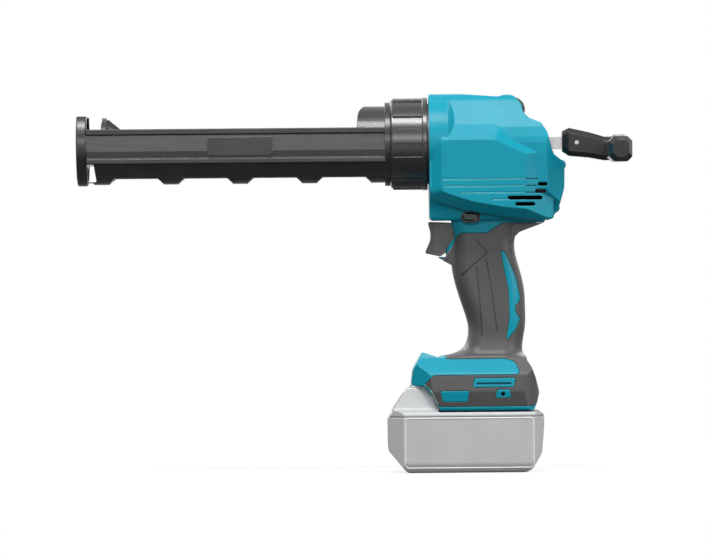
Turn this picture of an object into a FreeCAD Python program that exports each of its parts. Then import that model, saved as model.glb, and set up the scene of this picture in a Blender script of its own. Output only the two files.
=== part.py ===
"""Cordless caulking tool, modelled as its separate pieces in millimetres.

+Z is up, -X points to the nozzle and -Y is the user's left. The origin is the middle of the flat
bottom of the battery pack. Outlines are lists of corners (u, v, radius).
"""
import FreeCAD, Part
import math
import os

from FreeCAD import Vector

# Heights, stacked up from the bottom of the battery pack
BATTERY_HEIGHT = 44.5
FOOT_GAP = 1.0
FOOT_HEIGHT = 39.0
GRIP_LENGTH = 101.5
AXIS_RISE = 57.0
FOOT_BOTTOM = BATTERY_HEIGHT + FOOT_GAP
FOOT_TOP = FOOT_BOTTOM + FOOT_HEIGHT
BODY_BOTTOM = FOOT_TOP + GRIP_LENGTH
AXIS_Z = BODY_BOTTOM + AXIS_RISE

# Walls and clearances
WALL = 2.5
SKIN = 2.0
SKIN_GROOVE = 0.35
RUN_GAP = 0.35
SLIDE_GAP = 0.15
SHAFT_GAP = 0.04
CUT_OVER = 1.0
FAR = 400.0

# Casing
BODY_FRONT = -25.5
BODY_HALF = 34.0
NOSE_R = 36.6
NOSE_LENGTH = 14.0
NOSE_TAPER = 6.0
ROOF_RISE = 35.7
PANEL_HALF = 38.0
PANEL_ROOT = 28.0
LUG_R = 3.6
LUG_HALF = 17.0
GROOVE_WIDTH = 0.9
GROOVE_DEPTH = 0.7

# Casing outlines: side view as (x, z above the working axis), cross section as (y, z above the
# working axis) and plan as (x, y)
BODY_SIDE = [
    (BODY_FRONT, -AXIS_RISE, 3), (64, -AXIS_RISE, 6), (69.3, -50, 5), (74.2, -34, 25),
    (74.4, -15, 5), (65.8, -8.5, 6), (61.6, 7.5, 6), (57.2, 14.5, 4), (48.5, 18, 5),
    (44.2, 22.5, 2), (42.7, 29, 6), (36.8, ROOF_RISE, 6), (30, ROOF_RISE, 5), (26, 34.3, 6),
    (-2, NOSE_R, 30), (BODY_FRONT, NOSE_R, 2),
]
BODY_CROSS = [
    (-21, -AXIS_RISE, 3), (21, -AXIS_RISE, 3), (22.5, -47, 8), (BODY_HALF, -36, 8),
    (BODY_HALF, 2, 14), (30, 12, 10), (14, NOSE_R, 12), (-14, NOSE_R, 12), (-30, 12, 10),
    (-BODY_HALF, 2, 14), (-BODY_HALF, -36, 8), (-22.5, -47, 8),
]
BODY_PLAN = [
    (BODY_FRONT, -37, 3), (58, -37, 22), (76.5, -21, 12), (76.5, 21, 12), (58, 37, 22),
    (BODY_FRONT, 37, 3),
]
PANEL_BASE = [
    (-35.2, -39.3, 6), (2.7, -50.2, 30), (30, -54.8, 30), (65.7, -58, 8), (73.3, -40.7, 10), (73, -10.5, 8),
    (27, 14.8, 12), (-35.2, 14.8, 6),
]
PANEL_FACE = [
    (-16.5, -36, 4), (6, -43.5, 26), (30, -47.8, 26), (59, -50.5, 7), (65, -39, 9), (64, -17, 7),
    (22.5, 2, 10), (-16.5, 2, 4),
]
PANEL_PLAN = [
    (BODY_FRONT, -40, 0), (42, -40, 40), (74, -24, 6), (74, 24, 6), (42, 40, 40), (BODY_FRONT, 40, 0),
]
LUGS = [(72.1, -16.6), (67.2, -48.4)]
PANEL_GROOVES = [(-15.7, 62.5, -27.2), (-15.0, 52.8, -32.3), (-2.6, 52.8, -37.2), (20.6, 33.0, -42.3)]
VENT_SLOTS = [(54.2, 61.2, -31.0), (52.0, 60.4, -36.1), (31.5, 57.5, -41.0), (37.3, 52.0, -45.6)]
VENT_HEIGHT = 2.8

# Grip: sections from the foot up, as (share of the grip length, front x, back x, half width)
GRIP_SECTIONS = [
    (-0.020, -21.0, 46.0, 24.0), (0.020, -13.0, 43.9, 21.5), (0.064, -2.0, 42.5, 18.6),
    (0.133, 1.8, 43.2, 17.2), (0.222, 2.6, 44.7, 17.0), (0.350, -0.8, 45.0, 17.0),
    (0.497, -5.6, 44.2, 16.6), (0.645, -9.0, 40.9, 16.2), (0.793, -9.4, 37.4, 15.9),
    (0.900, -9.8, 38.6, 15.7), (1.030, -10.8, 43.0, 15.6),
]
GRIP_ROUND = 0.78
GRIP_LINES = [
    [(9.5, 86.0), (16.8, 77.2), (6.5, 68.3), (-2.4, 60.3)],
    [(9.0, 66.0), (11.0, 42.0), (12.6, 16.0)],
    [(16.2, 72.5), (20.5, 45.0), (23.6, 19.0)],
]
GRIP_INLAY = [
    (26.5, 79.5, 0.6), (30.5, 77.0, 1), (37.5, 60, 14), (41.3, 42.5, 5), (37.4, 38.0, 1),
    (37.4, 33.0, 1), (41.0, 28.5, 2), (37, 20, 6), (30.4, 12.0, 0.6), (33.2, 29, 10), (32.6, 50, 20),
]
DUCT_FRONT = 9.0
DUCT_REAR = 36.0
DUCT_HALF = 9.0
TAIL_HALF = 13.0
BEAK_HALF = 11.5
TRIGGER_MOUTH_X = -26.3
TRIGGER_MOUTH_RISE = 1.5
TRIGGER_DROP = 13.0
TRIGGER_MOUTH_R = 14.3
TRIGGER_HALF = 10.5
TRIGGER_TRAVEL = 6.0
TRIGGER_STEM_R = 3.2

# Foot outlines: side view as (x, z above the foot's bottom), cross section and plan as above
FOOT_SIDE = [
    (-18.6, 0, 2), (50, 0, 2), (52.6, 6, 5), (54.3, 13, 4), (51.6, 24, 8), (48.5, 32, 8),
    (44, FOOT_HEIGHT, 3), (-20, FOOT_HEIGHT, 3), (-31.8, 43, 1.5), (-38.9, 30, 6),
    (-40.3, 18.8, 1.2), (-31, 18.8, 5), (-23.4, 10.8, 8),
]
FOOT_CROSS = [
    (-34.5, 0, 2), (34.5, 0, 2), (36.3, 14, 8), (35.2, 27, 5), (24, FOOT_HEIGHT, 6), (21, 44, 2),
    (-21, 44, 2), (-24, FOOT_HEIGHT, 6), (-35.2, 27, 5), (-36.3, 14, 8),
]
FOOT_PLAN = [
    (-40.5, -25, 7), (-24, -37, 12), (54.5, -37, 17), (54.5, 37, 17), (-24, 37, 12), (-40.5, 25, 7),
]
FOOT_SKIN = [
    (-30.6, 19.6, 1), (-25.4, 14.5, 3), (-19.6, 3, 2), (48, 3, 2), (60, 6.5, 0), (60, 60, 0),
    (27, 60, 0), (27, 38.6, 0), (36, 36, 4), (40, 28, 3), (37, 26.4, 1), (-23.6, 26.4, 4),
]
BAY_HALF = 27.4
BAY_LIP_HALF = 23.4
BAY_LIP_HEIGHT = 4.0
BAY_HEIGHT = 12.5
BAY_REAR = 48.0
BAY_CEILING = 2.5

# Foot details as (x, z above the foot's bottom)
HOOK_FRAME = [(5.0, 17.4, 0.6), (35.0, 17.4, 0.6), (36.5, 24.0, 0.6), (6.5, 24.0, 0.6)]
HOOK_SLOT = [(7.8, 19.2, 0.5), (33.4, 19.2, 0.5), (33.4, 20.6, 0.5), (7.8, 20.6, 0.5)]
HOOK_FACE = 36.1
HOOK_SLOT_DEPTH = 2.4
HOOK_PLATE = [(21.7, 9.6, 0.6), (33.2, 9.6, 0.6), (32.0, 15.4, 0.6), (23.2, 15.4, 0.6)]
BADGE = [(-17.0, 6.8, 0.6), (1.0, 6.8, 0.6), (2.4, 14.6, 0.6), (-18.6, 14.6, 0.6)]
HOOK_HOLE_X = 27.2
HOOK_HOLE_RISE = 12.2
HOOK_HOLE_R = 1.65
HOOK_HOLE_DEPTH = 7.5

# Working head: cartridge holder and its bayonet collar, along the working axis
CARTRIDGE_R = 25.0
CARTRIDGE_GAP = 0.6
HOLDER_WALL = 1.6
STRAP_RISE = 1.3
HOOD_WALL = 2.6
TRAY_TOP = 12.0
PLATE_FRONT = -286.0
PLATE_THICK = 7.8
PLATE_TOP = 22.0
PLATE_R = 29.4
PLATE_RIM = 1.2
NOZZLE_R = 11.5
HOOD_FRONT = -79.0
HOOD_EDGE = [(0, TRAY_TOP, 2), (1.5, 27, 9), (16, 31, 0), (16, 60, 0)]
SHOULDER_FRONT = -58.0
SHOULDER_LENGTH = 4.0
SHOULDER_R = 31.0
STRAP_FIRST = -268.0
STRAP_PITCH = 51.3
STRAP_COUNT = 5
STRAP_TIP = 5.7
STRAP_ROOT = 9.8
STRAP_HEEL = 12.5
NOTCH_DROP = 24.0
SIDE_SECTION = [
    (29.2, TRAY_TOP, 0.6), (29.2, 8.2, 0.5), (28.0, 7.5, 0.4), (28.7, -4.5, 0), (28.2, -9.6, 0.4),
    (29.4, -10.2, 0.5), (29.4, -13.4, 0.5), (22.0, -14.2, 0),
]
WINDOW_LENGTH = 6.6
WINDOW_TOP = -14.0
WINDOW_DEEP = -26.4
NAMEPLATE = [
    (-189, -8.0, 1), (-143, -8.0, 1), (-141, -6.0, 1), (-141, 5.5, 1), (-187, 5.5, 1), (-189, 3.5, 1),
]
NAMEPLATE_RISE = 0.6
SIDE_FLAT = 28.4
TAB_R = 30.3
TAB_LENGTH = 3.0
TAB_COUNT = 3
TAB_ANGLE = 44.0
COLLAR_R = 32.7
COLLAR_LAND_R = 33.9
COLLAR_REAR_R = 34.4
COLLAR_LIP = 6.0
COLLAR_REAR_BAND = 4.0
COLLAR_LANDS = 10
COLLAR_REST_GAP = 1.0
SPIGOT_WALL = 4.2
SNAP_DEPTH = 1.0
SNAP_WIDTH = 2.4

# Rod, piston and pull handle
ROD_HEIGHT = 9.0
ROD_HALF = 4.0
ROD_STROKE = 210.0
PISTON_FRONT = -268.0
PISTON_R = 21.3
PISTON_THICK = 3.8
PISTON_HUB_R = 10.0
PISTON_HUB_LENGTH = 17.0
PISTON_FINS = 8
FIN_THICK = 2.4
BOLT_R = 3.0
BOLT_HEAD_R = 5.5
BOLT_HEAD = 3.5
BOLT_LENGTH = 20.0
WASHER_R = 7.5
WASHER_THICK = 1.2
HANDLE_FRONT = 73.4
HANDLE_ELBOW = 113.5
HANDLE_DROP = 6.5
HANDLE_REACH = 80.0
ROD_LEG = 60.0
HANDLE_PIN_X = 84.0
HANDLE_PIN_R = 1.5
HANDLE_PIN_HALF = 8.4

# Gears
PRESSURE = math.radians(25)
TOOTH_TIP = 0.8
TOOTH_ROOT = 1.05
BACKLASH = 0.16
RACK_MODULE = 1.25
RACK_PINION_TEETH = 14
SPUR_MODULE = 1.0
SPUR_TEETH = 13
FINAL_TEETH = 32
BEVEL_MODULE = 1.0
BEVEL_PINION_TEETH = 14
BEVEL_WHEEL_TEETH = 28
BEVEL_FACE = 6.0
PLANET_MODULE = 0.7
SUN_TEETH = 12
PLANET_TEETH = 15
RING_TEETH = 42
PLANET_COUNT = 3

# Gear case and drive train
SHAFT_X = 0.0
SHAFT_R = 4.0
CASE_WALL = 4.0
CASE_REACH = 18.0
CASE_HALF = 17.0
CHEEK = 4.5
CASE_LOW = 9.8
CASE_HIGH = 19.0
BEARING_R = 8.0
BEVEL_SHAFT_R = 3.0
BEVEL_BEARING_R = 6.5
RACK_FACE = 8.4
CLUTCH_R = 8.5
CLUTCH_THICK = 2.0
FINAL_FACE = 6.0
SPUR_FACE = 8.0
ROLLER_R = 6.0
ROLLER_PIN_R = 2.0
GUIDE_WALL = 3.0
REAR_GUIDE_FRONT = 55.0
REAR_GUIDE_LENGTH = 6.5
PLANET_FACE = 6.5
PLANET_PIN_R = 1.5
CARRIER_R = 12.0
CARRIER_THICK = 2.5
RING_WALL = 1.6
RING_LENGTH = 12.0

# Motor
MOTOR_R = 17.0
MOTOR_WALL = 1.4
MOTOR_LENGTH = 28.0
MOTOR_SHAFT_R = 1.6
MAGNET_THICK = 2.6
AIR_GAP = 0.5
ARMATURE_LENGTH = 15.0
ARMATURE_SLOTS = 12
FAN_LENGTH = 3.0
FAN_BLADES = 9
COMMUTATOR_R = 5.0
COMMUTATOR_LENGTH = 4.5
BRUSH_WIDTH = 3.0
BRUSH_LENGTH = 6.0
END_CAP = 2.5
END_BOSS_WALL = 1.5
MOTOR_BUSH_R = 3.6
MOTOR_BUSH_LENGTH = 2.4

# Controls
SWITCH_FRONT = 2.0
SWITCH_LENGTH = 28.0
SWITCH_HEIGHT = 28.0
SWITCH_HALF = 10.6
SPRING_R = 4.4
LOCK_X = 4.9
LOCK_RISE = 2.3
LOCK_LENGTH = 10.6
LOCK_HEIGHT = 4.8
LOCK_HALF = 23.4
DIAL_X = 36.9
DIAL_RISE = 25.0
DIAL_R = 9.4
DIAL_HALF = 3.6
DIAL_NOTCHES = 30
DIAL_NOTCH_R = 0.45
DIAL_PIN_R = 2.0
POT_LENGTH = 5.0
POT_HALF = 6.0
POT_SHORT = 2.7

# Screws that close the casing, as (x, z above the body or foot bottom, y of the head's seat)
BODY_SCREWS = [(-13.5, 83.0, 19.0), (51.0, 67.4, 16.0), (69.3, 36.0, 12.0), (-17.0, 6.0, 14.0)]
FOOT_SCREWS = [(20.0, 42.5, 9.0), (-28.0, 28.0, 18.0), (46.5, 21.5, 18.0)]
SCREW_R = 2.0
SCREW_HEAD_R = 3.6
SCREW_HEAD = 2.6
SCREW_BITE = 9.0
BOSS_R = 3.9

# Battery pack
BATTERY_SIDE = [
    (-43.5, 0, 5), (47, 0, 9), (55.8, 14, 12), (57.5, 34, 8), (57.5, BATTERY_HEIGHT, 3.5),
    (-20.3, BATTERY_HEIGHT, 2), (-24.6, 54.6, 6), (-31.6, 62.9, 4), (-42.6, 62.9, 2.5),
    (-57.8, 39.5, 4), (-57.5, 16.5, 5),
]
BATTERY_CROSS = [
    (-34.8, 0, 3), (34.8, 0, 3), (37.5, 6, 8), (37.5, BATTERY_HEIGHT, 3.5), (31, BATTERY_HEIGHT + 2, 3),
    (27, 64, 4), (-27, 64, 4), (-31, BATTERY_HEIGHT + 2, 3), (-37.5, BATTERY_HEIGHT, 3.5), (-37.5, 6, 8),
]
BATTERY_PLAN = [
    (-58.5, -27, 4), (-46, -37.6, 4), (50, -37.6, 4), (58.5, -29, 4), (58.5, 29, 4), (50, 37.6, 4),
    (-46, 37.6, 4), (-58.5, 27, 4),
]
BATTERY_WALL = 2.2
BATTERY_SPLIT = 41.5
PACK_GROOVE = 0.6
RAIL_FRONT = -19.8
RAIL_REAR = 24.0
RAIL_GAP = 0.5
CELL_R = 9.1
CELL_LENGTH = 65.0
CELL_PITCH = 18.5
CELL_COLUMNS = 5
CELL_ROWS = 2
CELL_GAP = 0.2
BOARD_THICK = 1.6
BOARD_HALF = 30.0
BLADE_Y = 12.0
BLADE_THICK = 1.0
BLADE_LENGTH = 13.0
SLOT_WIDTH = 3.0
CONTACT_FRONT = 12.0
CONTACT_LENGTH = 8.0
CONTACT_TOP = 55.0
BUTTON_SLOPE = [(-57.8, 0, 39.5), (-42.6, 0, 62.9)]
BUTTON_START = 6.5
BUTTON_LENGTH = 16.0
BUTTON_DEPTH = 5.0
BUTTON_PROUD = 0.8
BUTTON_HALF = 13.0
BUTTON_TRAVEL = 3.5
BUTTON_SPRING_R = 3.0
BUTTON_SPRING_RISE = 4.2
BUTTON_SPRING_LENGTH = 6.0
SPRING_WEB_X = -37.5
PACK_SCREW_X = 50.2
PACK_SCREW_Y = 26.0
PACK_SCREW_R = 1.5
PACK_HEAD_R = 2.8
PACK_HEAD = 2.2
PACK_SEAT = 18.0
PACK_BITE = 1.6
PACK_POST_WALL = 1.7


# Working sizes that follow from the values above
ROD_LOW = AXIS_Z - ROD_HEIGHT / 2
ROD_HIGH = AXIS_Z + ROD_HEIGHT / 2
RACK_PINION_R = RACK_MODULE * RACK_PINION_TEETH / 2
PINION_Z = ROD_LOW + TOOTH_TIP * RACK_MODULE - RACK_PINION_R
DRIVE_Z = PINION_Z - SPUR_MODULE * (SPUR_TEETH + FINAL_TEETH) / 2
CASE_FRONT = BODY_FRONT + WALL
CASE_INNER_FRONT = CASE_FRONT + CASE_WALL
CASE_INNER_REAR = SHAFT_X + CASE_REACH
CASE_REAR = CASE_INNER_REAR + CASE_WALL
RING_R = PLANET_MODULE * (RING_TEETH / 2 + TOOTH_ROOT) + RING_WALL
MOTOR_FRONT = CASE_REAR + RING_LENGTH
MOTOR_REAR = MOTOR_FRONT + MOTOR_LENGTH
HOLDER_BORE = CARTRIDGE_R + CARTRIDGE_GAP
HOLDER_R = HOLDER_BORE + HOLDER_WALL
HOOD_R = HOLDER_BORE + HOOD_WALL
COLLAR_FRONT = SHOULDER_FRONT + SHOULDER_LENGTH + RUN_GAP
COLLAR_REAR = BODY_FRONT - COLLAR_REST_GAP
TAB_FRONT = COLLAR_FRONT + COLLAR_LIP + RUN_GAP
TAB_REAR = TAB_FRONT + TAB_LENGTH
SPIGOT_FRONT = TAB_REAR + RUN_GAP
SPIGOT_R = HOLDER_BORE + SPIGOT_WALL
COLLAR_BORE = max(SPIGOT_R, TAB_R) + RUN_GAP
TRIGGER_Z = BODY_BOTTOM - TRIGGER_DROP
LOCK_Z = BODY_BOTTOM + LOCK_RISE
DIAL_Z = AXIS_Z + DIAL_RISE


def corner_edges(corners, to_space):
    """Edges of a closed outline through corners (u, v, radius), rounded as far as the sides allow."""
    ends = []
    for i, (u, v, radius) in enumerate(corners):
        here = Vector(u, v, 0)
        back = Vector(corners[i - 1][0], corners[i - 1][1], 0) - here
        ahead = Vector(corners[(i + 1) % len(corners)][0], corners[(i + 1) % len(corners)][1], 0) - here
        half = back.getAngle(ahead) / 2
        limit = 0.49 * min(back.Length, ahead.Length)
        run = min(radius / math.tan(half), limit)
        if run < 0.01:
            ends.append((here, None, here))
            continue
        radius = run * math.tan(half)
        back.normalize()
        ahead.normalize()
        middle = here + (back + ahead).normalize() * (radius / math.sin(half) - radius)
        ends.append((here + back * run, middle, here + ahead * run))
    edges = []
    for i, (start, middle, end) in enumerate(ends):
        points = [to_space(p.x, p.y) for p in (start, end, ends[(i + 1) % len(ends)][0])]
        if middle is not None:
            edges.append(Part.Arc(points[0], to_space(middle.x, middle.y), points[1]).toShape())
        edges.append(Part.LineSegment(points[1], points[2]).toShape())
    return edges


def corner_wire(corners, to_space):
    """Closed wire through rounded corners."""
    return Part.Wire(corner_edges(corners, to_space))


def frustum(base_edges, face_edges):
    """Solid between two outlines with the same number of edges, joined edge by edge."""
    faces = [Part.makeRuledSurface(a, b) for a, b in zip(base_edges, face_edges)]
    faces += [Part.Face(Part.Wire(base_edges)), Part.Face(Part.Wire(face_edges))]
    shell = Part.makeShell(faces)
    shell.sewShape()
    solid = Part.makeSolid(shell)
    if solid.Volume < 0:
        solid.reverse()
    return solid


def inset(corners, depth):
    """The same outline, listed anticlockwise, with every side moved inwards by depth."""
    count = len(corners)
    moved = []
    for i in range(count):
        (u0, v0, _), (u1, v1, radius), (u2, v2, _) = corners[i - 1], corners[i], corners[(i + 1) % count]
        a = Vector(u1 - u0, v1 - v0, 0).normalize()
        b = Vector(u2 - u1, v2 - v1, 0).normalize()
        turn = a.x * b.y - a.y * b.x
        slide = depth * math.tan(math.atan2(turn, a.dot(b)) / 2)
        corner = Vector(u1 - a.y * depth - a.x * slide, v1 + a.x * depth - a.y * slide, 0)
        rounding = max(radius - depth, 0.3) if turn > 0 else radius + depth
        moved.append((corner.x, corner.y, rounding if radius else 0))
    return moved


def raised(corners, rise):
    """The outline moved up by rise in its second direction."""
    return [(u, v + rise, radius) for u, v, radius in corners]


def prism_x(corners, x0, x1):
    """Solid from an outline in (y, z), between two values of x."""
    wire = corner_wire(corners, lambda u, v: Vector(x0, u, v))
    return Part.Face(wire).extrude(Vector(x1 - x0, 0, 0))


def prism_y(corners, y0, y1):
    """Solid from an outline in (x, z), between two values of y."""
    wire = corner_wire(corners, lambda u, v: Vector(u, y0, v))
    return Part.Face(wire).extrude(Vector(0, y1 - y0, 0))


def prism_z(corners, z0, z1):
    """Solid from an outline in (x, y), between two values of z."""
    wire = corner_wire(corners, lambda u, v: Vector(u, v, z0))
    return Part.Face(wire).extrude(Vector(0, 0, z1 - z0))


def block(x0, x1, y0, y1, z0, z1):
    """Box between two corners."""
    return Part.makeBox(x1 - x0, y1 - y0, z1 - z0, Vector(x0, y0, z0))


def cyl_x(radius, x0, x1, z=AXIS_Z, y=0.0):
    """Cylinder along x."""
    return Part.makeCylinder(radius, x1 - x0, Vector(x0, y, z), Vector(1, 0, 0))


def cyl_y(radius, y0, y1, x, z):
    """Cylinder along y."""
    return Part.makeCylinder(radius, y1 - y0, Vector(x, y0, z), Vector(0, 1, 0))


def cyl_z(radius, z0, z1, x, y):
    """Cylinder along z."""
    return Part.makeCylinder(radius, z1 - z0, Vector(x, y, z0), Vector(0, 0, 1))


def ring_x(outer, inner, x0, x1, z=AXIS_Z):
    """Tube along x."""
    return cyl_x(outer, x0, x1, z).cut(cyl_x(inner, x0 - CUT_OVER, x1 + CUT_OVER, z))


def ring_y(outer, inner, y0, y1, x, z):
    """Tube along y."""
    return cyl_y(outer, y0, y1, x, z).cut(cyl_y(inner, y0 - CUT_OVER, y1 + CUT_OVER, x, z))


def fused(shapes):
    """One clean solid from shapes that overlap or touch."""
    return shapes[0].multiFuse(shapes[1:]).removeSplitter()


def both_sides(shape):
    """The shape and its mirror image across the middle plane."""
    return [shape, shape.mirror(Vector(0, 0, 0), Vector(0, 1, 0))]


def softened(shape, radius, chosen):
    """The shape with a fillet on every edge that the test picks."""
    return shape.makeFillet(radius, [edge for edge in shape.Edges if chosen(edge)])


def turned(shape, angle, x, z):
    """The shape turned about an axis along y through (x, z)."""
    copy = shape.copy()
    copy.rotate(Vector(x, 0, z), Vector(0, 1, 0), angle)
    return copy


def save(name, shape):
    """Write one node after a check that its solids are sound."""
    solids = shape.Solids
    if not solids or not all(solid.isValid() and solid.Volume > 0 for solid in solids):
        raise ValueError(f"{name}: unsound solid")
    Part.makeCompound(solids).exportStep(f"parts/{name}.step")
    print(f"{name:24s} solids {len(solids):3d}  volume {sum(s.Volume for s in solids):10.1f}")


def save_single(name, shape):
    """Write a node that must be one solid."""
    if len(shape.Solids) != 1:
        pieces = [(round(s.Volume, 2), s.BoundBox) for s in shape.Solids]
        raise ValueError(f"{name}: {len(shape.Solids)} solids in place of one: {pieces}")
    save(name, shape)


# Outer forms of the casing, each with an inset so that skins and hollows follow it


def side_panel(depth):
    """Raised panel on the user's left of the casing, drawn in by depth."""
    base = raised(inset(PANEL_BASE, depth), AXIS_Z)
    face = raised(inset(PANEL_FACE, depth), AXIS_Z)
    root = corner_edges(base, lambda u, v: Vector(u, -PANEL_ROOT, v))
    front = corner_edges(face, lambda u, v: Vector(u, -PANEL_HALF + depth, v))
    plan = prism_z(inset(PANEL_PLAN, depth), BODY_BOTTOM, FAR)
    return frustum(root, front).common(plan)


def body_form(depth=0.0):
    """The upper casing: nose ring, roofed middle, side panels and rear lugs."""
    side = prism_y(raised(inset(BODY_SIDE, depth), AXIS_Z), -2 * BODY_HALF, 2 * BODY_HALF)
    cross = prism_x(raised(inset(BODY_CROSS, depth), AXIS_Z), BODY_FRONT - CUT_OVER, FAR)
    plan = prism_z(inset(BODY_PLAN, depth), BODY_BOTTOM - CUT_OVER, FAR)
    nose_end = BODY_FRONT + NOSE_LENGTH
    ring = cyl_x(NOSE_R - depth, BODY_FRONT + depth, nose_end)
    taper = Part.makeCone(NOSE_R - depth, NOSE_R - depth - NOSE_TAPER, NOSE_TAPER,
                          Vector(nose_end, 0, AXIS_Z), Vector(1, 0, 0))
    shapes = [side.common(cross).common(plan), ring, taper] + both_sides(side_panel(depth))
    if depth == 0:
        shapes += [cyl_y(LUG_R, -LUG_HALF, LUG_HALF, x, AXIS_Z + rise) for x, rise in LUGS]
    return fused(shapes)


def grip_section(share, front, back, half, depth):
    """One level rounded rectangle of the grip."""
    level = FOOT_TOP + share * GRIP_LENGTH
    front, back, half = front + depth, back - depth, half - depth
    radius = GRIP_ROUND * half
    corners = [(front, -half, radius), (back, -half, radius), (back, half, radius), (front, half, radius)]
    return corner_wire(corners, lambda u, v: Vector(u, v, level))


def grip_column(depth):
    """The grip between foot and casing, drawn in by depth."""
    return Part.makeLoft([grip_section(*section, depth) for section in GRIP_SECTIONS], True, False)


def grip_form(depth=0.0):
    """Grip column with the elastomer tail under the rear of the casing and the beak under the trigger."""
    tail_side = [
        (30, -16, 0), (36, -16, 0), (37.5, -12.5, 3), (41, -9, 4), (49, -6, 10), (60, -2, 2),
        (60, 2 + depth, 0), (30, 2 + depth, 0),
    ]
    tail = prism_y(raised(inset(tail_side, depth), BODY_BOTTOM), depth - TAIL_HALF, TAIL_HALF - depth)
    tail_plan = [
        (20, depth - TAIL_HALF, 0), (44, depth - TAIL_HALF, 9), (61, depth - 7, 4), (61, 7 - depth, 4),
        (44, TAIL_HALF - depth, 9), (20, TAIL_HALF - depth, 0),
    ]
    tail = tail.common(prism_z(tail_plan, BODY_BOTTOM - GRIP_LENGTH, BODY_BOTTOM + 10))
    beak_side = [(-19.8, -27, 1), (-9.5, -33, 6), (6, -38, 0), (6, -14, 0), (-8, -14, 0), (-15, -23, 8)]
    beak = prism_y(raised(inset(beak_side, depth), BODY_BOTTOM), depth - BEAK_HALF, BEAK_HALF - depth)
    beak_plan = [
        (-20, -5, 3), (-13, depth - BEAK_HALF, 6), (8, depth - BEAK_HALF, 0), (8, BEAK_HALF - depth, 0),
        (-13, BEAK_HALF - depth, 6), (-20, 5, 3),
    ]
    beak = beak.common(prism_z(beak_plan, BODY_BOTTOM - GRIP_LENGTH, BODY_BOTTOM))
    return fused([grip_column(depth), tail, beak])


def foot_form(depth=0.0):
    """Foot that carries the battery pack, before its bay is cut."""
    side = prism_y(raised(inset(FOOT_SIDE, depth), FOOT_BOTTOM), -2 * BODY_HALF, 2 * BODY_HALF)
    cross = prism_x(raised(inset(FOOT_CROSS, depth), FOOT_BOTTOM), -FAR, FAR)
    plan = prism_z(inset(FOOT_PLAN, depth), 0, BODY_BOTTOM)
    return side.common(cross).common(plan)


def skin_region(gap):
    """Side view region that the elastomer covers, drawn in by gap."""
    grip = [
        (-22, -29.2, 0), (-16.0, -29.2, 1), (-8.6, -19.5, 8), (-5.6, -12.2, 4), (-2.2, -9.3, 2),
        (16.8, -9.3, 2), (28, -2.0, 2), (80, -2.0, 0), (80, -GRIP_LENGTH - 1, 0),
        (-14.2, -GRIP_LENGTH - 1, 0), (-15.6, -GRIP_LENGTH + 5, 0), (-40, -60, 0),
    ]
    grip.reverse()
    outlines = [raised(grip, BODY_BOTTOM), raised(FOOT_SKIN, FOOT_BOTTOM)]
    return fused([prism_y(inset(outline, gap), -FAR, FAR) for outline in outlines])


def skin_windows(gap):
    """Side view openings of the elastomer, widened by gap, through which the casing shows."""
    inlay = raised(list(reversed(GRIP_INLAY)), FOOT_TOP)
    outlines = [inlay] + [raised(outline, FOOT_BOTTOM) for outline in (HOOK_FRAME, HOOK_PLATE, BADGE)]
    return [prism_y(inset(outline, -gap), -FAR, FAR) for outline in outlines]


def groove_strip(points, width):
    """Side view band of constant width along a line of points (x, z)."""
    strips = []
    for (x0, z0), (x1, z1) in zip(points, points[1:]):
        along = Vector(x1 - x0, 0, z1 - z0)
        length = along.Length
        strip = block(x0 - width / 2, x0 + length + width / 2, -FAR, FAR, z0 - width / 2, z0 + width / 2)
        strip.rotate(Vector(x0, 0, z0), Vector(0, -1, 0), math.degrees(math.atan2(along.z, along.x)))
        strips.append(strip)
    return fused(strips) if len(strips) > 1 else strips[0]


def skin_layer(grip, foot):
    """Outer layer of the grip and foot, as thick as the elastomer."""
    inner = fused([grip_form(SKIN), foot_form(SKIN)])
    caps = block(-FAR, FAR, -FAR, FAR, BODY_BOTTOM - 0.5, FAR)
    return fused([grip, foot]).cut(inner).cut(caps)


def skin_form(layer, gap):
    """The part of the layer that the elastomer fills, drawn in by gap from the casing that shows round it."""
    skin = layer.common(skin_region(gap))
    windows = [trigger_room()[1], bay_space(0.0)] + [screw_recess(*place) for place in screw_places()]
    for window in skin_windows(gap) + windows:
        skin = skin.cut(window)
    return skin


def grooved(skin, grip):
    """The elastomer skin with the moulded lines of the grip."""
    rind = grip.cut(grip_form(GROOVE_DEPTH))
    for points in GRIP_LINES:
        line = [(x, FOOT_TOP + rise) for x, rise in points]
        skin = skin.cut(rind.common(groove_strip(line, GROOVE_WIDTH)))
    return skin


def obround_y(x0, x1, z, height, y0, y1):
    """Slot shaped prism along y."""
    radius = height / 2 - 0.01
    corners = [(x0, z - height / 2, radius), (x1, z - height / 2, radius), (x1, z + height / 2, radius),
               (x0, z + height / 2, radius)]
    return prism_y(corners, y0, y1)


def bay_space(gap):
    """Room for the rails of the battery pack, open to the front and below."""
    low = block(-FAR, BAY_REAR, gap - BAY_LIP_HALF, BAY_LIP_HALF - gap, 0, FOOT_BOTTOM + BAY_LIP_HEIGHT + gap)
    head = block(-FAR, BAY_REAR, gap - BAY_HALF, BAY_HALF - gap, FOOT_BOTTOM + BAY_LIP_HEIGHT + gap,
                 FOOT_BOTTOM + BAY_HEIGHT - gap)
    return fused([low, head])


def screw_places():
    """Each casing screw as (x, z, y of the head's seat)."""
    places = [(x, BODY_BOTTOM + rise, seat) for x, rise, seat in BODY_SCREWS]
    return places + [(x, FOOT_BOTTOM + rise, seat) for x, rise, seat in FOOT_SCREWS]


def screw_recess(x, z, seat):
    """Round recess that a casing screw's head sits in."""
    return cyl_y(SCREW_HEAD_R + SLIDE_GAP, seat, FAR, x, z)


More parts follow.
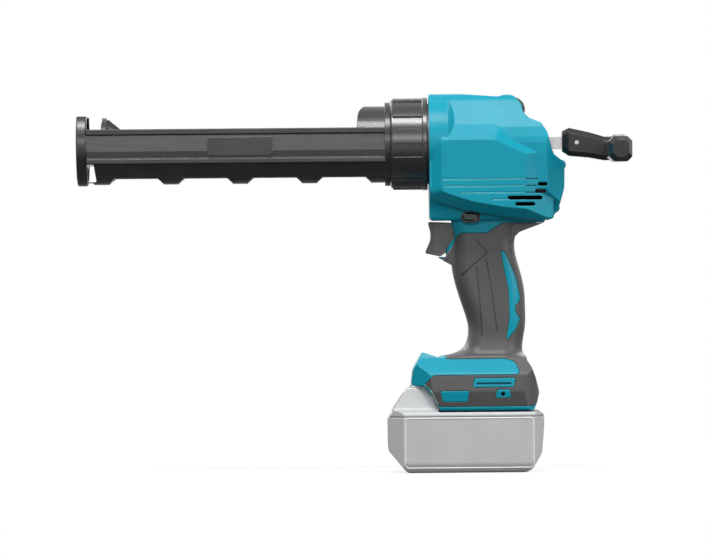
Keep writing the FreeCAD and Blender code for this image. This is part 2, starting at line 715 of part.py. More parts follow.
def trigger_room():
    """Pocket that the trigger slides into, with its travel."""
    mouth = cyl_y(TRIGGER_MOUTH_R, -FAR, FAR, TRIGGER_MOUTH_X, TRIGGER_Z + TRIGGER_MOUTH_RISE)
    mouth = mouth.common(block(-FAR, FAR, -FAR, FAR, BODY_BOTTOM - 27, BODY_BOTTOM))
    half = TRIGGER_HALF + RUN_GAP
    pocket = block(-FAR, SWITCH_FRONT, -half, half, BODY_BOTTOM - 27, BODY_BOTTOM)
    return [mouth, pocket]


def make_casing(grip, foot, skin):
    """The rigid casing in two halves, hollow, with screw bosses and every opening."""
    outer = fused([body_form(), grip.cut(block(-FAR, FAR, -FAR, FAR, BODY_BOTTOM + 2, FAR)), foot])
    ceiling = FOOT_BOTTOM + BAY_HEIGHT + BAY_CEILING
    foot_hollow = foot_form(SKIN + WALL).common(block(-FAR, FAR, -FAR, FAR, ceiling, FAR))
    duct = block(DUCT_FRONT, DUCT_REAR, -DUCT_HALF, DUCT_HALF, ceiling, FOOT_TOP + GRIP_LENGTH / 8)
    hollow = fused([body_form(WALL), grip_column(SKIN + WALL), foot_hollow, duct])
    bosses = [cyl_y(BOSS_R, -FAR, FAR, x, z) for x, z, _ in screw_places()]
    shell = outer.cut(hollow)
    shell = fused([shell] + [outer.common(boss) for boss in bosses])
    shell = shell.cut(skin)
    cuts = trigger_room() + [bay_space(0.0)]
    cuts.append(cyl_x(SPIGOT_R + SLIDE_GAP, BODY_FRONT - CUT_OVER, CASE_FRONT + CUT_OVER))
    cuts.append(rod_passage(REAR_GUIDE_FRONT, FAR, RUN_GAP))
    cuts.append(rear_guide_block())
    cuts.append(obround_y(LOCK_X - LOCK_LENGTH / 2 - RUN_GAP, LOCK_X + LOCK_LENGTH / 2 + RUN_GAP, LOCK_Z,
                          LOCK_HEIGHT + 2 * RUN_GAP, -FAR, FAR))
    cuts.append(cyl_y(DIAL_R + 2 * RUN_GAP, -DIAL_HALF - RUN_GAP, DIAL_HALF + RUN_GAP, DIAL_X, DIAL_Z))
    for x0, x1, rise in VENT_SLOTS:
        slot = obround_y(x0, x1, AXIS_Z + rise, VENT_HEIGHT, -FAR, -MOTOR_R - 2)
        cuts += both_sides(slot)
    rind = fused(both_sides(side_panel(0.0))).cut(fused(both_sides(side_panel(GROOVE_DEPTH))))
    for x0, x1, rise in PANEL_GROOVES:
        cuts.append(rind.common(groove_strip([(x0, AXIS_Z + rise), (x1, AXIS_Z + rise)], GROOVE_WIDTH)))
    hook_slot = prism_y(raised(HOOK_SLOT, FOOT_BOTTOM), -FAR, FAR)
    slot_bottom = HOOK_FACE - HOOK_SLOT_DEPTH
    cuts.append(hook_slot.cut(block(-FAR, FAR, -slot_bottom, slot_bottom, -FAR, FAR)))
    hole = cyl_y(HOOK_HOLE_R, HOOK_FACE - HOOK_HOLE_DEPTH, FAR, HOOK_HOLE_X, FOOT_BOTTOM + HOOK_HOLE_RISE)
    cuts += both_sides(hole)
    for x, z, seat in screw_places():
        cuts.append(cyl_y(SCREW_R + SLIDE_GAP, 0, FAR, x, z))
        cuts.append(screw_recess(x, z, seat))
        cuts.append(cyl_y(SCREW_R, -SCREW_BITE - 1, 0, x, z))
    for cut in cuts:
        shell = shell.cut(cut)
    return shell


def rod_passage(x0, x1, gap):
    """Square hole that the rod runs in."""
    return block(x0, x1, -ROD_HALF - gap, ROD_HALF + gap, ROD_LOW - gap, ROD_HIGH + gap)


def rear_guide_block():
    """Outer form of the rear rod guide."""
    return block(REAR_GUIDE_FRONT, REAR_GUIDE_FRONT + REAR_GUIDE_LENGTH, -ROD_HALF - GUIDE_WALL,
                 ROD_HALF + GUIDE_WALL, ROD_LOW - GUIDE_WALL, ROD_HIGH + GUIDE_WALL)


def halves(shape):
    """Left and right halves of a shape, split on the middle plane."""
    left = shape.common(block(-FAR, FAR, -FAR, 0, -FAR, FAR))
    right = shape.common(block(-FAR, FAR, 0, FAR, -FAR, FAR))
    return left, right


def make_screws():
    """Casing screws, heads to the right."""
    screws = []
    for x, z, seat in screw_places():
        shank = cyl_y(SCREW_R, -SCREW_BITE, seat, x, z)
        head = cyl_y(SCREW_HEAD_R, seat, seat + SCREW_HEAD, x, z)
        recess = block(x - 0.5, x + 0.5, seat + 1.2, seat + SCREW_HEAD + CUT_OVER, z - 2, z + 2)
        screws.append(fused([shank, head]).cut(recess).cut(turned(recess, 90, x, z)))
    return Part.makeCompound(screws)


# Working head


def make_holder():
    """Open trough with a slotted front plate, straps under it and a hood at the rear."""
    inner_front = PLATE_FRONT + PLATE_THICK
    tube = cyl_x(HOLDER_R, inner_front, SHOULDER_FRONT)
    side = SIDE_SECTION + [(-y, z, r) for y, z, r in reversed(SIDE_SECTION)]
    side.reverse()
    walls = prism_x(raised(side, AXIS_Z), inner_front, SHOULDER_FRONT)
    hood = cyl_x(HOOD_R, HOOD_FRONT, TAB_REAR)
    straps = []
    strap_ring = ring_x(HOLDER_R + STRAP_RISE, HOLDER_BORE, inner_front, SHOULDER_FRONT)
    for i in range(STRAP_COUNT):
        x = STRAP_FIRST + i * STRAP_PITCH
        trapezoid = [(x - STRAP_TIP, -40, 0), (x + STRAP_TIP, -40, 0), (x + STRAP_TIP, -28, 0),
                     (x + STRAP_ROOT, -NOTCH_DROP, 0), (x + STRAP_HEEL, -11, 0), (x - STRAP_HEEL, -11, 0),
                     (x - STRAP_ROOT, -NOTCH_DROP, 0), (x - STRAP_TIP, -28, 0)]
        straps.append(strap_ring.common(prism_y(raised(trapezoid, AXIS_Z), -FAR, FAR)))
    shoulder = cyl_x(SHOULDER_R, SHOULDER_FRONT, SHOULDER_FRONT + SHOULDER_LENGTH)
    tabs = bayonet_sectors(TAB_R, TAB_FRONT, TAB_REAR, TAB_ANGLE)
    plates = both_sides(prism_y(raised(NAMEPLATE, AXIS_Z), -SIDE_FLAT - NAMEPLATE_RISE, -HOLDER_BORE - 1))
    shape = fused([tube, walls, hood, shoulder] + straps + tabs + plates)
    shape = shape.cut(cyl_x(HOLDER_BORE, inner_front - CUT_OVER, FAR))
    hood_edge = [(HOOD_FRONT + x, rise, radius) for x, rise, radius in HOOD_EDGE]
    far_end = (inner_front - CUT_OVER, hood_edge[-1][1], 0)
    mouth = [(inner_front - CUT_OVER, 0, 0), (HOOD_FRONT, 0, 4)] + hood_edge + [far_end]
    shape = shape.cut(prism_y(raised(mouth, AXIS_Z), -HOLDER_BORE, HOLDER_BORE))
    above = [(inner_front - CUT_OVER, TRAY_TOP, 0), (HOOD_FRONT, TRAY_TOP, 0)] + hood_edge[1:] + [far_end]
    shape = shape.cut(prism_y(raised(above, AXIS_Z), -FAR, FAR))
    for i in range(STRAP_COUNT - 1):
        x0 = STRAP_FIRST + i * STRAP_PITCH
        x1 = x0 + STRAP_PITCH
        notch = [(x0 + STRAP_TIP, -40, 0), (x1 - STRAP_TIP, -40, 0), (x1 - STRAP_TIP, -28, 0),
                 (x1 - STRAP_ROOT, -NOTCH_DROP, 1), (x0 + STRAP_ROOT, -NOTCH_DROP, 1),
                 (x0 + STRAP_TIP, -28, 0)]
        shape = shape.cut(prism_y(raised(notch, AXIS_Z), -FAR, FAR))
    window = [(inner_front, WINDOW_DEEP, 0.5), (inner_front + WINDOW_LENGTH, WINDOW_DEEP, 1),
              (inner_front + WINDOW_LENGTH - 1.5, WINDOW_TOP, 1), (inner_front, WINDOW_TOP, 0.5)]
    shape = shape.cut(prism_y(raised(window, AXIS_Z), -FAR, FAR))
    return fused([shape, make_front_plate()])


def make_front_plate():
    """Front plate of the holder, cut flat at the top, with a slot for the nozzle that opens upwards."""
    plate = cyl_x(PLATE_R, PLATE_FRONT, PLATE_FRONT + PLATE_THICK)
    plate = softened(plate, PLATE_RIM, lambda edge: edge.BoundBox.XLength < 0.1)
    plate = plate.cut(block(-FAR, FAR, -FAR, FAR, AXIS_Z + PLATE_TOP, FAR))
    front, rear = PLATE_FRONT - CUT_OVER, PLATE_FRONT + PLATE_THICK + CUT_OVER
    slot = cyl_x(NOZZLE_R, front, rear)
    way_in = block(front, rear, -NOZZLE_R, NOZZLE_R, AXIS_Z, FAR)
    recess = cyl_x(PLATE_R - 3.5, PLATE_FRONT + 4.5, rear)
    recess = recess.common(block(-FAR, FAR, -HOLDER_BORE, HOLDER_BORE, -FAR, FAR))
    return plate.cut(fused([slot, way_in])).cut(recess)


def bayonet_sectors(radius, x0, x1, angle):
    """Equally spaced sectors of a disc, used for tabs and for the gaps that pass them."""
    sectors = []
    for i in range(TAB_COUNT):
        sector = Part.makeCylinder(radius, x1 - x0, Vector(x0, 0, AXIS_Z), Vector(1, 0, 0), angle)
        sector.rotate(Vector(0, 0, AXIS_Z), Vector(1, 0, 0), i * 360.0 / TAB_COUNT - angle / 2)
        sectors.append(sector)
    return sectors


def make_collar():
    """Bayonet collar: raised lands on a drum, a lip with gaps in front and a snap rib inside."""
    land_rear = COLLAR_REAR - COLLAR_REAR_BAND
    drum = cyl_x(COLLAR_R, COLLAR_FRONT, COLLAR_REAR)
    drum = softened(drum, 1.0, lambda edge: edge.BoundBox.XMax < COLLAR_FRONT + 0.1)
    band = cyl_x(COLLAR_REAR_R, land_rear, COLLAR_REAR)
    band = softened(band, 0.8, lambda edge: edge.BoundBox.XLength < 0.1)
    lands = []
    pitch = 360.0 / COLLAR_LANDS
    for i in range(COLLAR_LANDS):
        land = Part.makeCylinder(COLLAR_LAND_R, land_rear - COLLAR_FRONT - 1.5,
                                 Vector(COLLAR_FRONT + 1.5, 0, AXIS_Z), Vector(1, 0, 0), pitch / 2)
        land.rotate(Vector(0, 0, AXIS_Z), Vector(1, 0, 0), i * pitch)
        lands.append(land)
    shape = fused([drum, band] + lands)
    shape = shape.cut(cyl_x(HOOD_R + RUN_GAP, COLLAR_FRONT - CUT_OVER, COLLAR_REAR))
    shape = shape.cut(cyl_x(COLLAR_BORE, COLLAR_FRONT + COLLAR_LIP, COLLAR_REAR + CUT_OVER))
    gap_angle = TAB_ANGLE + 4
    for gap in bayonet_sectors(TAB_R + RUN_GAP, COLLAR_FRONT - CUT_OVER, COLLAR_FRONT + COLLAR_LIP + CUT_OVER,
                               gap_angle):
        gap.rotate(Vector(0, 0, AXIS_Z), Vector(1, 0, 0), 180.0 / TAB_COUNT)
        shape = shape.cut(gap)
    snap_front = COLLAR_REAR - 2 * SNAP_WIDTH
    snap = ring_x(COLLAR_BORE + 0.5, SPIGOT_R - SNAP_DEPTH, snap_front, snap_front + SNAP_WIDTH)
    return fused([shape, snap])


def make_piston():
    """Round piston with fins that brace it to its hub."""
    rear = PISTON_FRONT + PISTON_THICK
    disc = cyl_x(PISTON_R, PISTON_FRONT, rear)
    disc = softened(disc, 0.8, lambda edge: edge.BoundBox.XMax < PISTON_FRONT + 0.1)
    hub = cyl_x(PISTON_HUB_R, rear, PISTON_FRONT + PISTON_HUB_LENGTH)
    fins = []
    fin_rear = PISTON_FRONT + PISTON_HUB_LENGTH - 1
    fin_side = [
        (rear - 0.5, PISTON_HUB_R - 2, 0), (fin_rear, PISTON_HUB_R - 2, 0), (fin_rear, PISTON_HUB_R + 1, 0),
        (rear + 1.5, PISTON_R - 1.5, 0), (rear - 0.5, PISTON_R - 1.5, 0),
    ]
    for i in range(PISTON_FINS):
        fin = prism_y(raised(fin_side, AXIS_Z), -FIN_THICK / 2, FIN_THICK / 2)
        fin.rotate(Vector(0, 0, AXIS_Z), Vector(1, 0, 0), i * 360.0 / PISTON_FINS)
        fins.append(fin)
    shape = fused([disc, hub] + fins)
    seat = WASHER_THICK + BOLT_HEAD
    shape = shape.cut(cyl_x(WASHER_R + SLIDE_GAP, PISTON_FRONT - CUT_OVER, PISTON_FRONT + seat))
    shape = shape.cut(cyl_x(BOLT_R + SLIDE_GAP, PISTON_FRONT - CUT_OVER, FAR))
    return shape.cut(rod_passage(PISTON_FRONT + seat + 4.0, FAR, 0.0))


def make_piston_bolt():
    """Hexagon bolt that holds the piston on the rod."""
    corners = []
    for i in range(6):
        angle = math.radians(60 * i)
        corners.append((BOLT_HEAD_R * math.cos(angle), AXIS_Z + BOLT_HEAD_R * math.sin(angle), 0))
    head = prism_x(corners, PISTON_FRONT, PISTON_FRONT + BOLT_HEAD)
    return fused([head, cyl_x(BOLT_R, PISTON_FRONT + BOLT_HEAD, PISTON_FRONT + BOLT_HEAD + BOLT_LENGTH)])


def make_piston_washer():
    """Washer between the bolt's head and the piston."""
    front = PISTON_FRONT + BOLT_HEAD
    return ring_x(WASHER_R, BOLT_R + SLIDE_GAP, front, front + WASHER_THICK)


def make_rod():
    """Flat bar with rack teeth on its lower side and a leg that the handle is moulded on."""
    pitch = math.pi * RACK_MODULE
    depth = (TOOTH_TIP + TOOTH_ROOT) * RACK_MODULE
    slope = math.tan(PRESSURE)
    half_pitch_width = (pitch / 2 - BACKLASH) / 2
    tip = half_pitch_width - TOOTH_TIP * RACK_MODULE * slope
    root = half_pitch_width + TOOTH_ROOT * RACK_MODULE * slope
    front = PISTON_FRONT + WASHER_THICK + BOLT_HEAD + 4.0
    teeth_before = math.ceil((ROD_STROKE + RACK_PINION_R) / pitch)
    teeth_after = math.ceil(RACK_PINION_R / pitch)
    start = SHAFT_X - teeth_before * pitch - root
    points = [(front, ROD_HIGH), (front, ROD_LOW), (start - pitch / 2, ROD_LOW),
              (start - pitch / 2, ROD_LOW + depth)]
    for i in range(-teeth_before, teeth_after + 1):
        x = SHAFT_X + i * pitch
        points += [(x - root, ROD_LOW + depth), (x - tip, ROD_LOW), (x + tip, ROD_LOW),
                   (x + root, ROD_LOW + depth)]
    end = SHAFT_X + teeth_after * pitch + root + pitch / 2
    points += [(end, ROD_LOW + depth), (end, ROD_LOW), (HANDLE_ELBOW + ROD_HALF, ROD_LOW),
               (HANDLE_ELBOW + ROD_HALF, ROD_HIGH)]
    bar = prism_y([(x, z, 0) for x, z in points], -ROD_HALF, ROD_HALF)
    shape = fused([bar, rod_leg()])
    shape = shape.cut(cyl_x(BOLT_R, front - CUT_OVER, PISTON_FRONT + BOLT_HEAD + BOLT_LENGTH))
    return shape.cut(cyl_y(HANDLE_PIN_R, -FAR, FAR, HANDLE_PIN_X, AXIS_Z))


def rod_leg():
    """Bent end of the rod, inside the side grip."""
    return block(HANDLE_ELBOW - ROD_HALF, HANDLE_ELBOW + ROD_HALF, -ROD_LEG, ROD_HALF, ROD_LOW, ROD_HIGH)


def octagon(half_u, half_v, bevel, centre_u, centre_v, radius):
    """Rounded octagon as a list of corners."""
    a, b = half_u, half_v
    points = [(-a, -b + bevel), (-a + bevel, -b), (a - bevel, -b), (a, -b + bevel), (a, b - bevel),
              (a - bevel, b), (-a + bevel, b), (-a, b - bevel)]
    return [(centre_u + u, centre_v + v, radius) for u, v in points]


def make_handle():
    """Moulded L shaped pull handle: a sleeve on the rod, then a side grip towards the user's left."""
    low = AXIS_Z - HANDLE_DROP
    sleeve_sections = [
        (HANDLE_FRONT, 6.5, 7.5, AXIS_Z + 1.0), (HANDLE_FRONT + 5, 8.2, 10.4, AXIS_Z + 0.6),
        (HANDLE_FRONT + 20, 8.0, 9.4, AXIS_Z - 1.8), (HANDLE_ELBOW - 9, 7.8, 8.8, low + 2.0),
        (HANDLE_ELBOW + 6, 7.4, 8.2, low + 1.5),
    ]
    wires = []
    for x, half_y, half_z, z in sleeve_sections:
        corners = octagon(half_y, half_z, 3.2, 0, z, 1.2)
        wires.append(corner_wire(corners, lambda u, v, x=x: Vector(x, u, v)))
    sleeve = Part.makeLoft(wires, True, True)
    grip_sections = [
        (8.0, 6.4, 7.2, low + 1.2), (5.0, 7.4, 8.4, low + 1.2), (-12.0, 7.8, 8.6, low + 0.6),
        (-40.0, 8.2, 9.0, low), (-HANDLE_REACH + 5, 8.4, 9.2, low), (-HANDLE_REACH, 6.0, 6.6, low),
    ]
    wires = []
    for y, half_x, half_z, z in grip_sections:
        corners = octagon(half_x, half_z, 3.4, HANDLE_ELBOW, z, 1.4)
        wires.append(corner_wire(corners, lambda u, v, y=y: Vector(u, y, v)))
    side_grip = Part.makeLoft(wires, True, True)
    shape = fused([sleeve, side_grip])
    shape = shape.cut(rod_passage(-FAR, HANDLE_ELBOW + ROD_HALF, 0.0))
    shape = shape.cut(rod_leg())
    return shape.cut(cyl_y(HANDLE_PIN_R, -FAR, FAR, HANDLE_PIN_X, AXIS_Z))


# Gears


def involute(angle):
    """Involute function."""
    return math.tan(angle) - angle


def gear_points(teeth, module, tip, root, slack, first):
    """Corners (u, v) of a spur gear with straight sided facets, one tooth centred on the angle first."""
    pitch_r = module * teeth / 2
    base_r = pitch_r * math.cos(PRESSURE)
    half = (math.pi * module / 2 - slack) / (2 * pitch_r)

    def half_angle(radius):
        return half + involute(PRESSURE) - involute(math.acos(min(1.0, base_r / radius)))

    low = pitch_r - root * module
    high = pitch_r + tip * module
    radii = [low, max(low, base_r) * 0.5 + pitch_r * 0.5, pitch_r * 0.5 + high * 0.5, high]
    points = []
    for i in range(teeth):
        centre = first + 2 * math.pi * i / teeth
        flank = [(r, centre - half_angle(r)) for r in radii]
        flank += [(r, centre + half_angle(r)) for r in reversed(radii)]
        points += [(r * math.cos(a), r * math.sin(a)) for r, a in flank]
    return points


def gear_y(points, y0, y1, x, z):
    """Gear with its axis along y."""
    return prism_y([(x + u, z + v, 0) for u, v in points], y0, y1)


def gear_x(points, x0, x1, y, z):
    """Gear with its axis along x."""
    return prism_x([(y + u, z + v, 0) for u, v in points], x0, x1)


def bevel_points(teeth, mate, first):
    """Corners of a bevel gear in the plane of its large end, and that plane's distance from the apex."""
    delta = math.atan2(teeth, mate)
    cone = BEVEL_MODULE * math.hypot(teeth, mate) / 2
    plane = cone * math.cos(delta)
    back_r = BEVEL_MODULE * teeth / 2 / math.cos(delta)
    half = (math.pi * BEVEL_MODULE / 2 - 1.5 * BACKLASH) / (2 * back_r)
    base_r = back_r * math.cos(PRESSURE)
    flank = []
    for height in (-TOOTH_ROOT * BEVEL_MODULE, 0.0, TOOTH_TIP * BEVEL_MODULE):
        radius = back_r + height
        opening = half + involute(PRESSURE) - involute(math.acos(min(1.0, base_r / radius)))
        lean = delta + height / cone
        flank.append((plane * math.tan(lean), radius * opening / (cone * math.sin(lean))))
    points = []
    for i in range(teeth):
        centre = first + 2 * math.pi * i / teeth
        profile = [(r, centre - a) for r, a in flank] + [(r, centre + a) for r, a in reversed(flank)]
        points += [(r * math.cos(a), r * math.sin(a)) for r, a in profile]
    return points, plane


def bevel_solid(points, plane, to_space):
    """Bevel gear whose faces all run to the apex."""
    cone = BEVEL_MODULE * math.hypot(BEVEL_PINION_TEETH, BEVEL_WHEEL_TEETH) / 2
    small = 1 - BEVEL_FACE / cone
    wires = []
    for share in (1.0, small):
        corners = [to_space(plane * share, u * share, v * share) for u, v in points]
        wires.append(Part.makePolygon(corners + corners[:1]))
    return Part.makeLoft(wires, True, True)


def bearing_y(y0, y1, x, z, bore):
    """Ball bearing with its axis along y, shields drawn in between the two rings."""
    ring = ring_y(BEARING_R, bore, y0, y1, x, z)
    for y in (y0, y1):
        ring = ring.cut(ring_y(BEARING_R - 1.6, bore + 1.2, y - 0.3, y + 0.3, x, z))
    return ring


def make_gear_case():
    """Cast frame round the gears: front flange with spigot, two cheeks, rear wall."""
    half = CASE_HALF + CHEEK
    low = DRIVE_Z - CASE_LOW
    high = AXIS_Z + CASE_HIGH
    frame = block(CASE_FRONT, CASE_REAR, -half, half, low, high)
    room = block(CASE_INNER_FRONT, CASE_INNER_REAR, -CASE_HALF, CASE_HALF, low - CUT_OVER, high + CUT_OVER)
    flange = cyl_x(SPIGOT_R + 1.5, CASE_FRONT, CASE_INNER_FRONT)
    spigot = cyl_x(SPIGOT_R, SPIGOT_FRONT, CASE_FRONT)
    ring_seat = cyl_x(RING_R, CASE_INNER_REAR, CASE_REAR, DRIVE_Z)
    shape = fused([frame, flange, spigot, ring_seat]).cut(room)
    shape = shape.cut(cyl_x(HOLDER_BORE, SPIGOT_FRONT - CUT_OVER, CASE_FRONT))
    snap_front = COLLAR_REAR - 2 * SNAP_WIDTH
    shape = shape.cut(ring_x(SPIGOT_R + CUT_OVER, SPIGOT_R - SNAP_DEPTH - RUN_GAP, snap_front - RUN_GAP,
                             snap_front + SNAP_WIDTH + RUN_GAP))
    for z in (PINION_Z, DRIVE_Z):
        shape = shape.cut(cyl_y(BEARING_R, -FAR, FAR, SHAFT_X, z))
    shape = shape.cut(cyl_y(ROLLER_PIN_R, -FAR, FAR, SHAFT_X, ROD_HIGH + SLIDE_GAP + ROLLER_R))
    shape = shape.cut(cyl_x(BEVEL_BEARING_R, CASE_INNER_REAR - CUT_OVER, CASE_REAR + CUT_OVER, DRIVE_Z))
    shape = shape.cut(front_guide_block())
    shape = shape.cut(rod_passage(CASE_INNER_REAR - CUT_OVER, CASE_REAR + CUT_OVER, 1.0))
    return shape


def front_guide_block():
    """Outer form of the front rod guide."""
    return block(CASE_FRONT, CASE_INNER_FRONT, -ROD_HALF - GUIDE_WALL, ROD_HALF + GUIDE_WALL,
                 ROD_LOW - GUIDE_WALL, ROD_HIGH + GUIDE_WALL)


def make_drive():
    """Gears, shafts and bearings from the planetary stage to the rack pinion."""
    cheek_out = CASE_HALF + CHEEK
    bearings = []
    for z in (PINION_Z, DRIVE_Z):
        bearings += both_sides(bearing_y(CASE_HALF, cheek_out, SHAFT_X, z, SHAFT_R + SHAFT_GAP))
    save("shaft_bearings", Part.makeCompound(bearings))
    bevel_bearing = ring_x(BEVEL_BEARING_R, BEVEL_SHAFT_R + SHAFT_GAP, CASE_INNER_REAR, CASE_REAR, DRIVE_Z)
    save_single("bevel_bearing", bevel_bearing)

    rack_first = math.pi / 2 + math.pi / RACK_PINION_TEETH
    points = gear_points(RACK_PINION_TEETH, RACK_MODULE, TOOTH_TIP, TOOTH_ROOT, BACKLASH, rack_first)
    shaft = cyl_y(SHAFT_R, -cheek_out, cheek_out, SHAFT_X, PINION_Z)
    pinion = gear_y(points, -RACK_FACE / 2, RACK_FACE / 2, SHAFT_X, PINION_Z)
    save_single("pinion_shaft", fused([shaft, pinion]))
    plate_rear = -RACK_FACE / 2
    plate_front = plate_rear - CLUTCH_THICK
    save_single("clutch_plate", ring_y(CLUTCH_R, SHAFT_R, plate_front, plate_rear, SHAFT_X, PINION_Z))
    final_rear = plate_front - RUN_GAP
    final_front = final_rear - FINAL_FACE
    points = gear_points(FINAL_TEETH, SPUR_MODULE, TOOTH_TIP, TOOTH_ROOT, BACKLASH,
                         -math.pi / 2 + math.pi / FINAL_TEETH)
    final = gear_y(points, final_front, final_rear, SHAFT_X, PINION_Z)
    save_single("final_gear", final.cut(cyl_y(SHAFT_R + SHAFT_GAP, -FAR, FAR, SHAFT_X, PINION_Z)))
    spring = ring_y(SHAFT_R + 2.6, SHAFT_R + RUN_GAP, -CASE_HALF, final_front - RUN_GAP, SHAFT_X, PINION_Z)
    save_single("clutch_spring", spring)

    shaft = cyl_y(SHAFT_R, -cheek_out, cheek_out, SHAFT_X, DRIVE_Z)
    points = gear_points(SPUR_TEETH, SPUR_MODULE, TOOTH_TIP, TOOTH_ROOT, BACKLASH, math.pi / 2)
    middle = (final_front + final_rear) / 2
    spur = gear_y(points, middle - SPUR_FACE / 2, middle + SPUR_FACE / 2, SHAFT_X, DRIVE_Z)
    save_single("cross_shaft", fused([shaft, spur]))
    points, plane = bevel_points(BEVEL_WHEEL_TEETH, BEVEL_PINION_TEETH, math.pi / BEVEL_WHEEL_TEETH)
    wheel = bevel_solid(points, plane, lambda d, u, v: Vector(SHAFT_X + u, d, DRIVE_Z + v))
    hub = cyl_y(SHAFT_R + 3, plane, CASE_HALF, SHAFT_X, DRIVE_Z)
    wheel = fused([wheel, hub]).cut(cyl_y(SHAFT_R, 0, FAR, SHAFT_X, DRIVE_Z))
    save_single("bevel_wheel", wheel)
    points, plane = bevel_points(BEVEL_PINION_TEETH, BEVEL_WHEEL_TEETH, 0.0)
    pinion = bevel_solid(points, plane, lambda d, u, v: Vector(SHAFT_X + d, u, DRIVE_Z + v))
    carrier_front = CASE_REAR + RUN_GAP
    neck = cyl_x(BEVEL_SHAFT_R, SHAFT_X + plane - CUT_OVER, carrier_front, DRIVE_Z)
    save_single("bevel_pinion", fused([pinion, neck]))

    roller_z = ROD_HIGH + SLIDE_GAP + ROLLER_R
    roller = ring_y(ROLLER_R, ROLLER_PIN_R + SHAFT_GAP, -RACK_FACE / 2, RACK_FACE / 2, SHAFT_X, roller_z)
    save_single("support_roller", roller)
    pin = cyl_y(ROLLER_PIN_R, -cheek_out, cheek_out, SHAFT_X, roller_z)
    save_single("roller_pin", pin)
    make_planetary(carrier_front)


def make_planetary(carrier_front):
    """Planetary stage between the motor and the bevel pinion."""
    gear_front = carrier_front + CARRIER_THICK + RUN_GAP
    gear_rear = gear_front + PLANET_FACE
    orbit = PLANET_MODULE * (SUN_TEETH + PLANET_TEETH) / 2
    carrier = cyl_x(CARRIER_R, carrier_front, carrier_front + CARRIER_THICK, DRIVE_Z)
    pins = []
    for i in range(PLANET_COUNT):
        angle = 2 * math.pi * i / PLANET_COUNT
        y, z = orbit * math.cos(angle), DRIVE_Z + orbit * math.sin(angle)
        pins.append(cyl_x(PLANET_PIN_R, carrier_front, gear_rear, z, y))
        points = gear_points(PLANET_TEETH, PLANET_MODULE, TOOTH_TIP, TOOTH_ROOT, BACKLASH, angle)
        planet = gear_x(points, gear_front, gear_rear, y, z)
        bore = cyl_x(PLANET_PIN_R + SHAFT_GAP, gear_front - CUT_OVER, gear_rear + CUT_OVER, z, y)
        save_single(f"planet_gear_{i + 1}", planet.cut(bore))
    save_single("planet_carrier", fused([carrier] + pins))
    points = gear_points(SUN_TEETH, PLANET_MODULE, TOOTH_TIP, TOOTH_ROOT, BACKLASH, 0.0)
    sun = gear_x(points, gear_front, MOTOR_FRONT - RUN_GAP, 0.0, DRIVE_Z)
    save_single("sun_pinion", sun.cut(cyl_x(MOTOR_SHAFT_R, gear_front - CUT_OVER, FAR, DRIVE_Z)))
    spaces = gear_points(RING_TEETH, PLANET_MODULE, TOOTH_ROOT, TOOTH_TIP, -BACKLASH, 0.0)
    room = gear_x(spaces, CASE_REAR - CUT_OVER, MOTOR_FRONT + CUT_OVER, 0.0, DRIVE_Z)
    save_single("ring_gear", cyl_x(RING_R, CASE_REAR, MOTOR_FRONT, DRIVE_Z).cut(room))


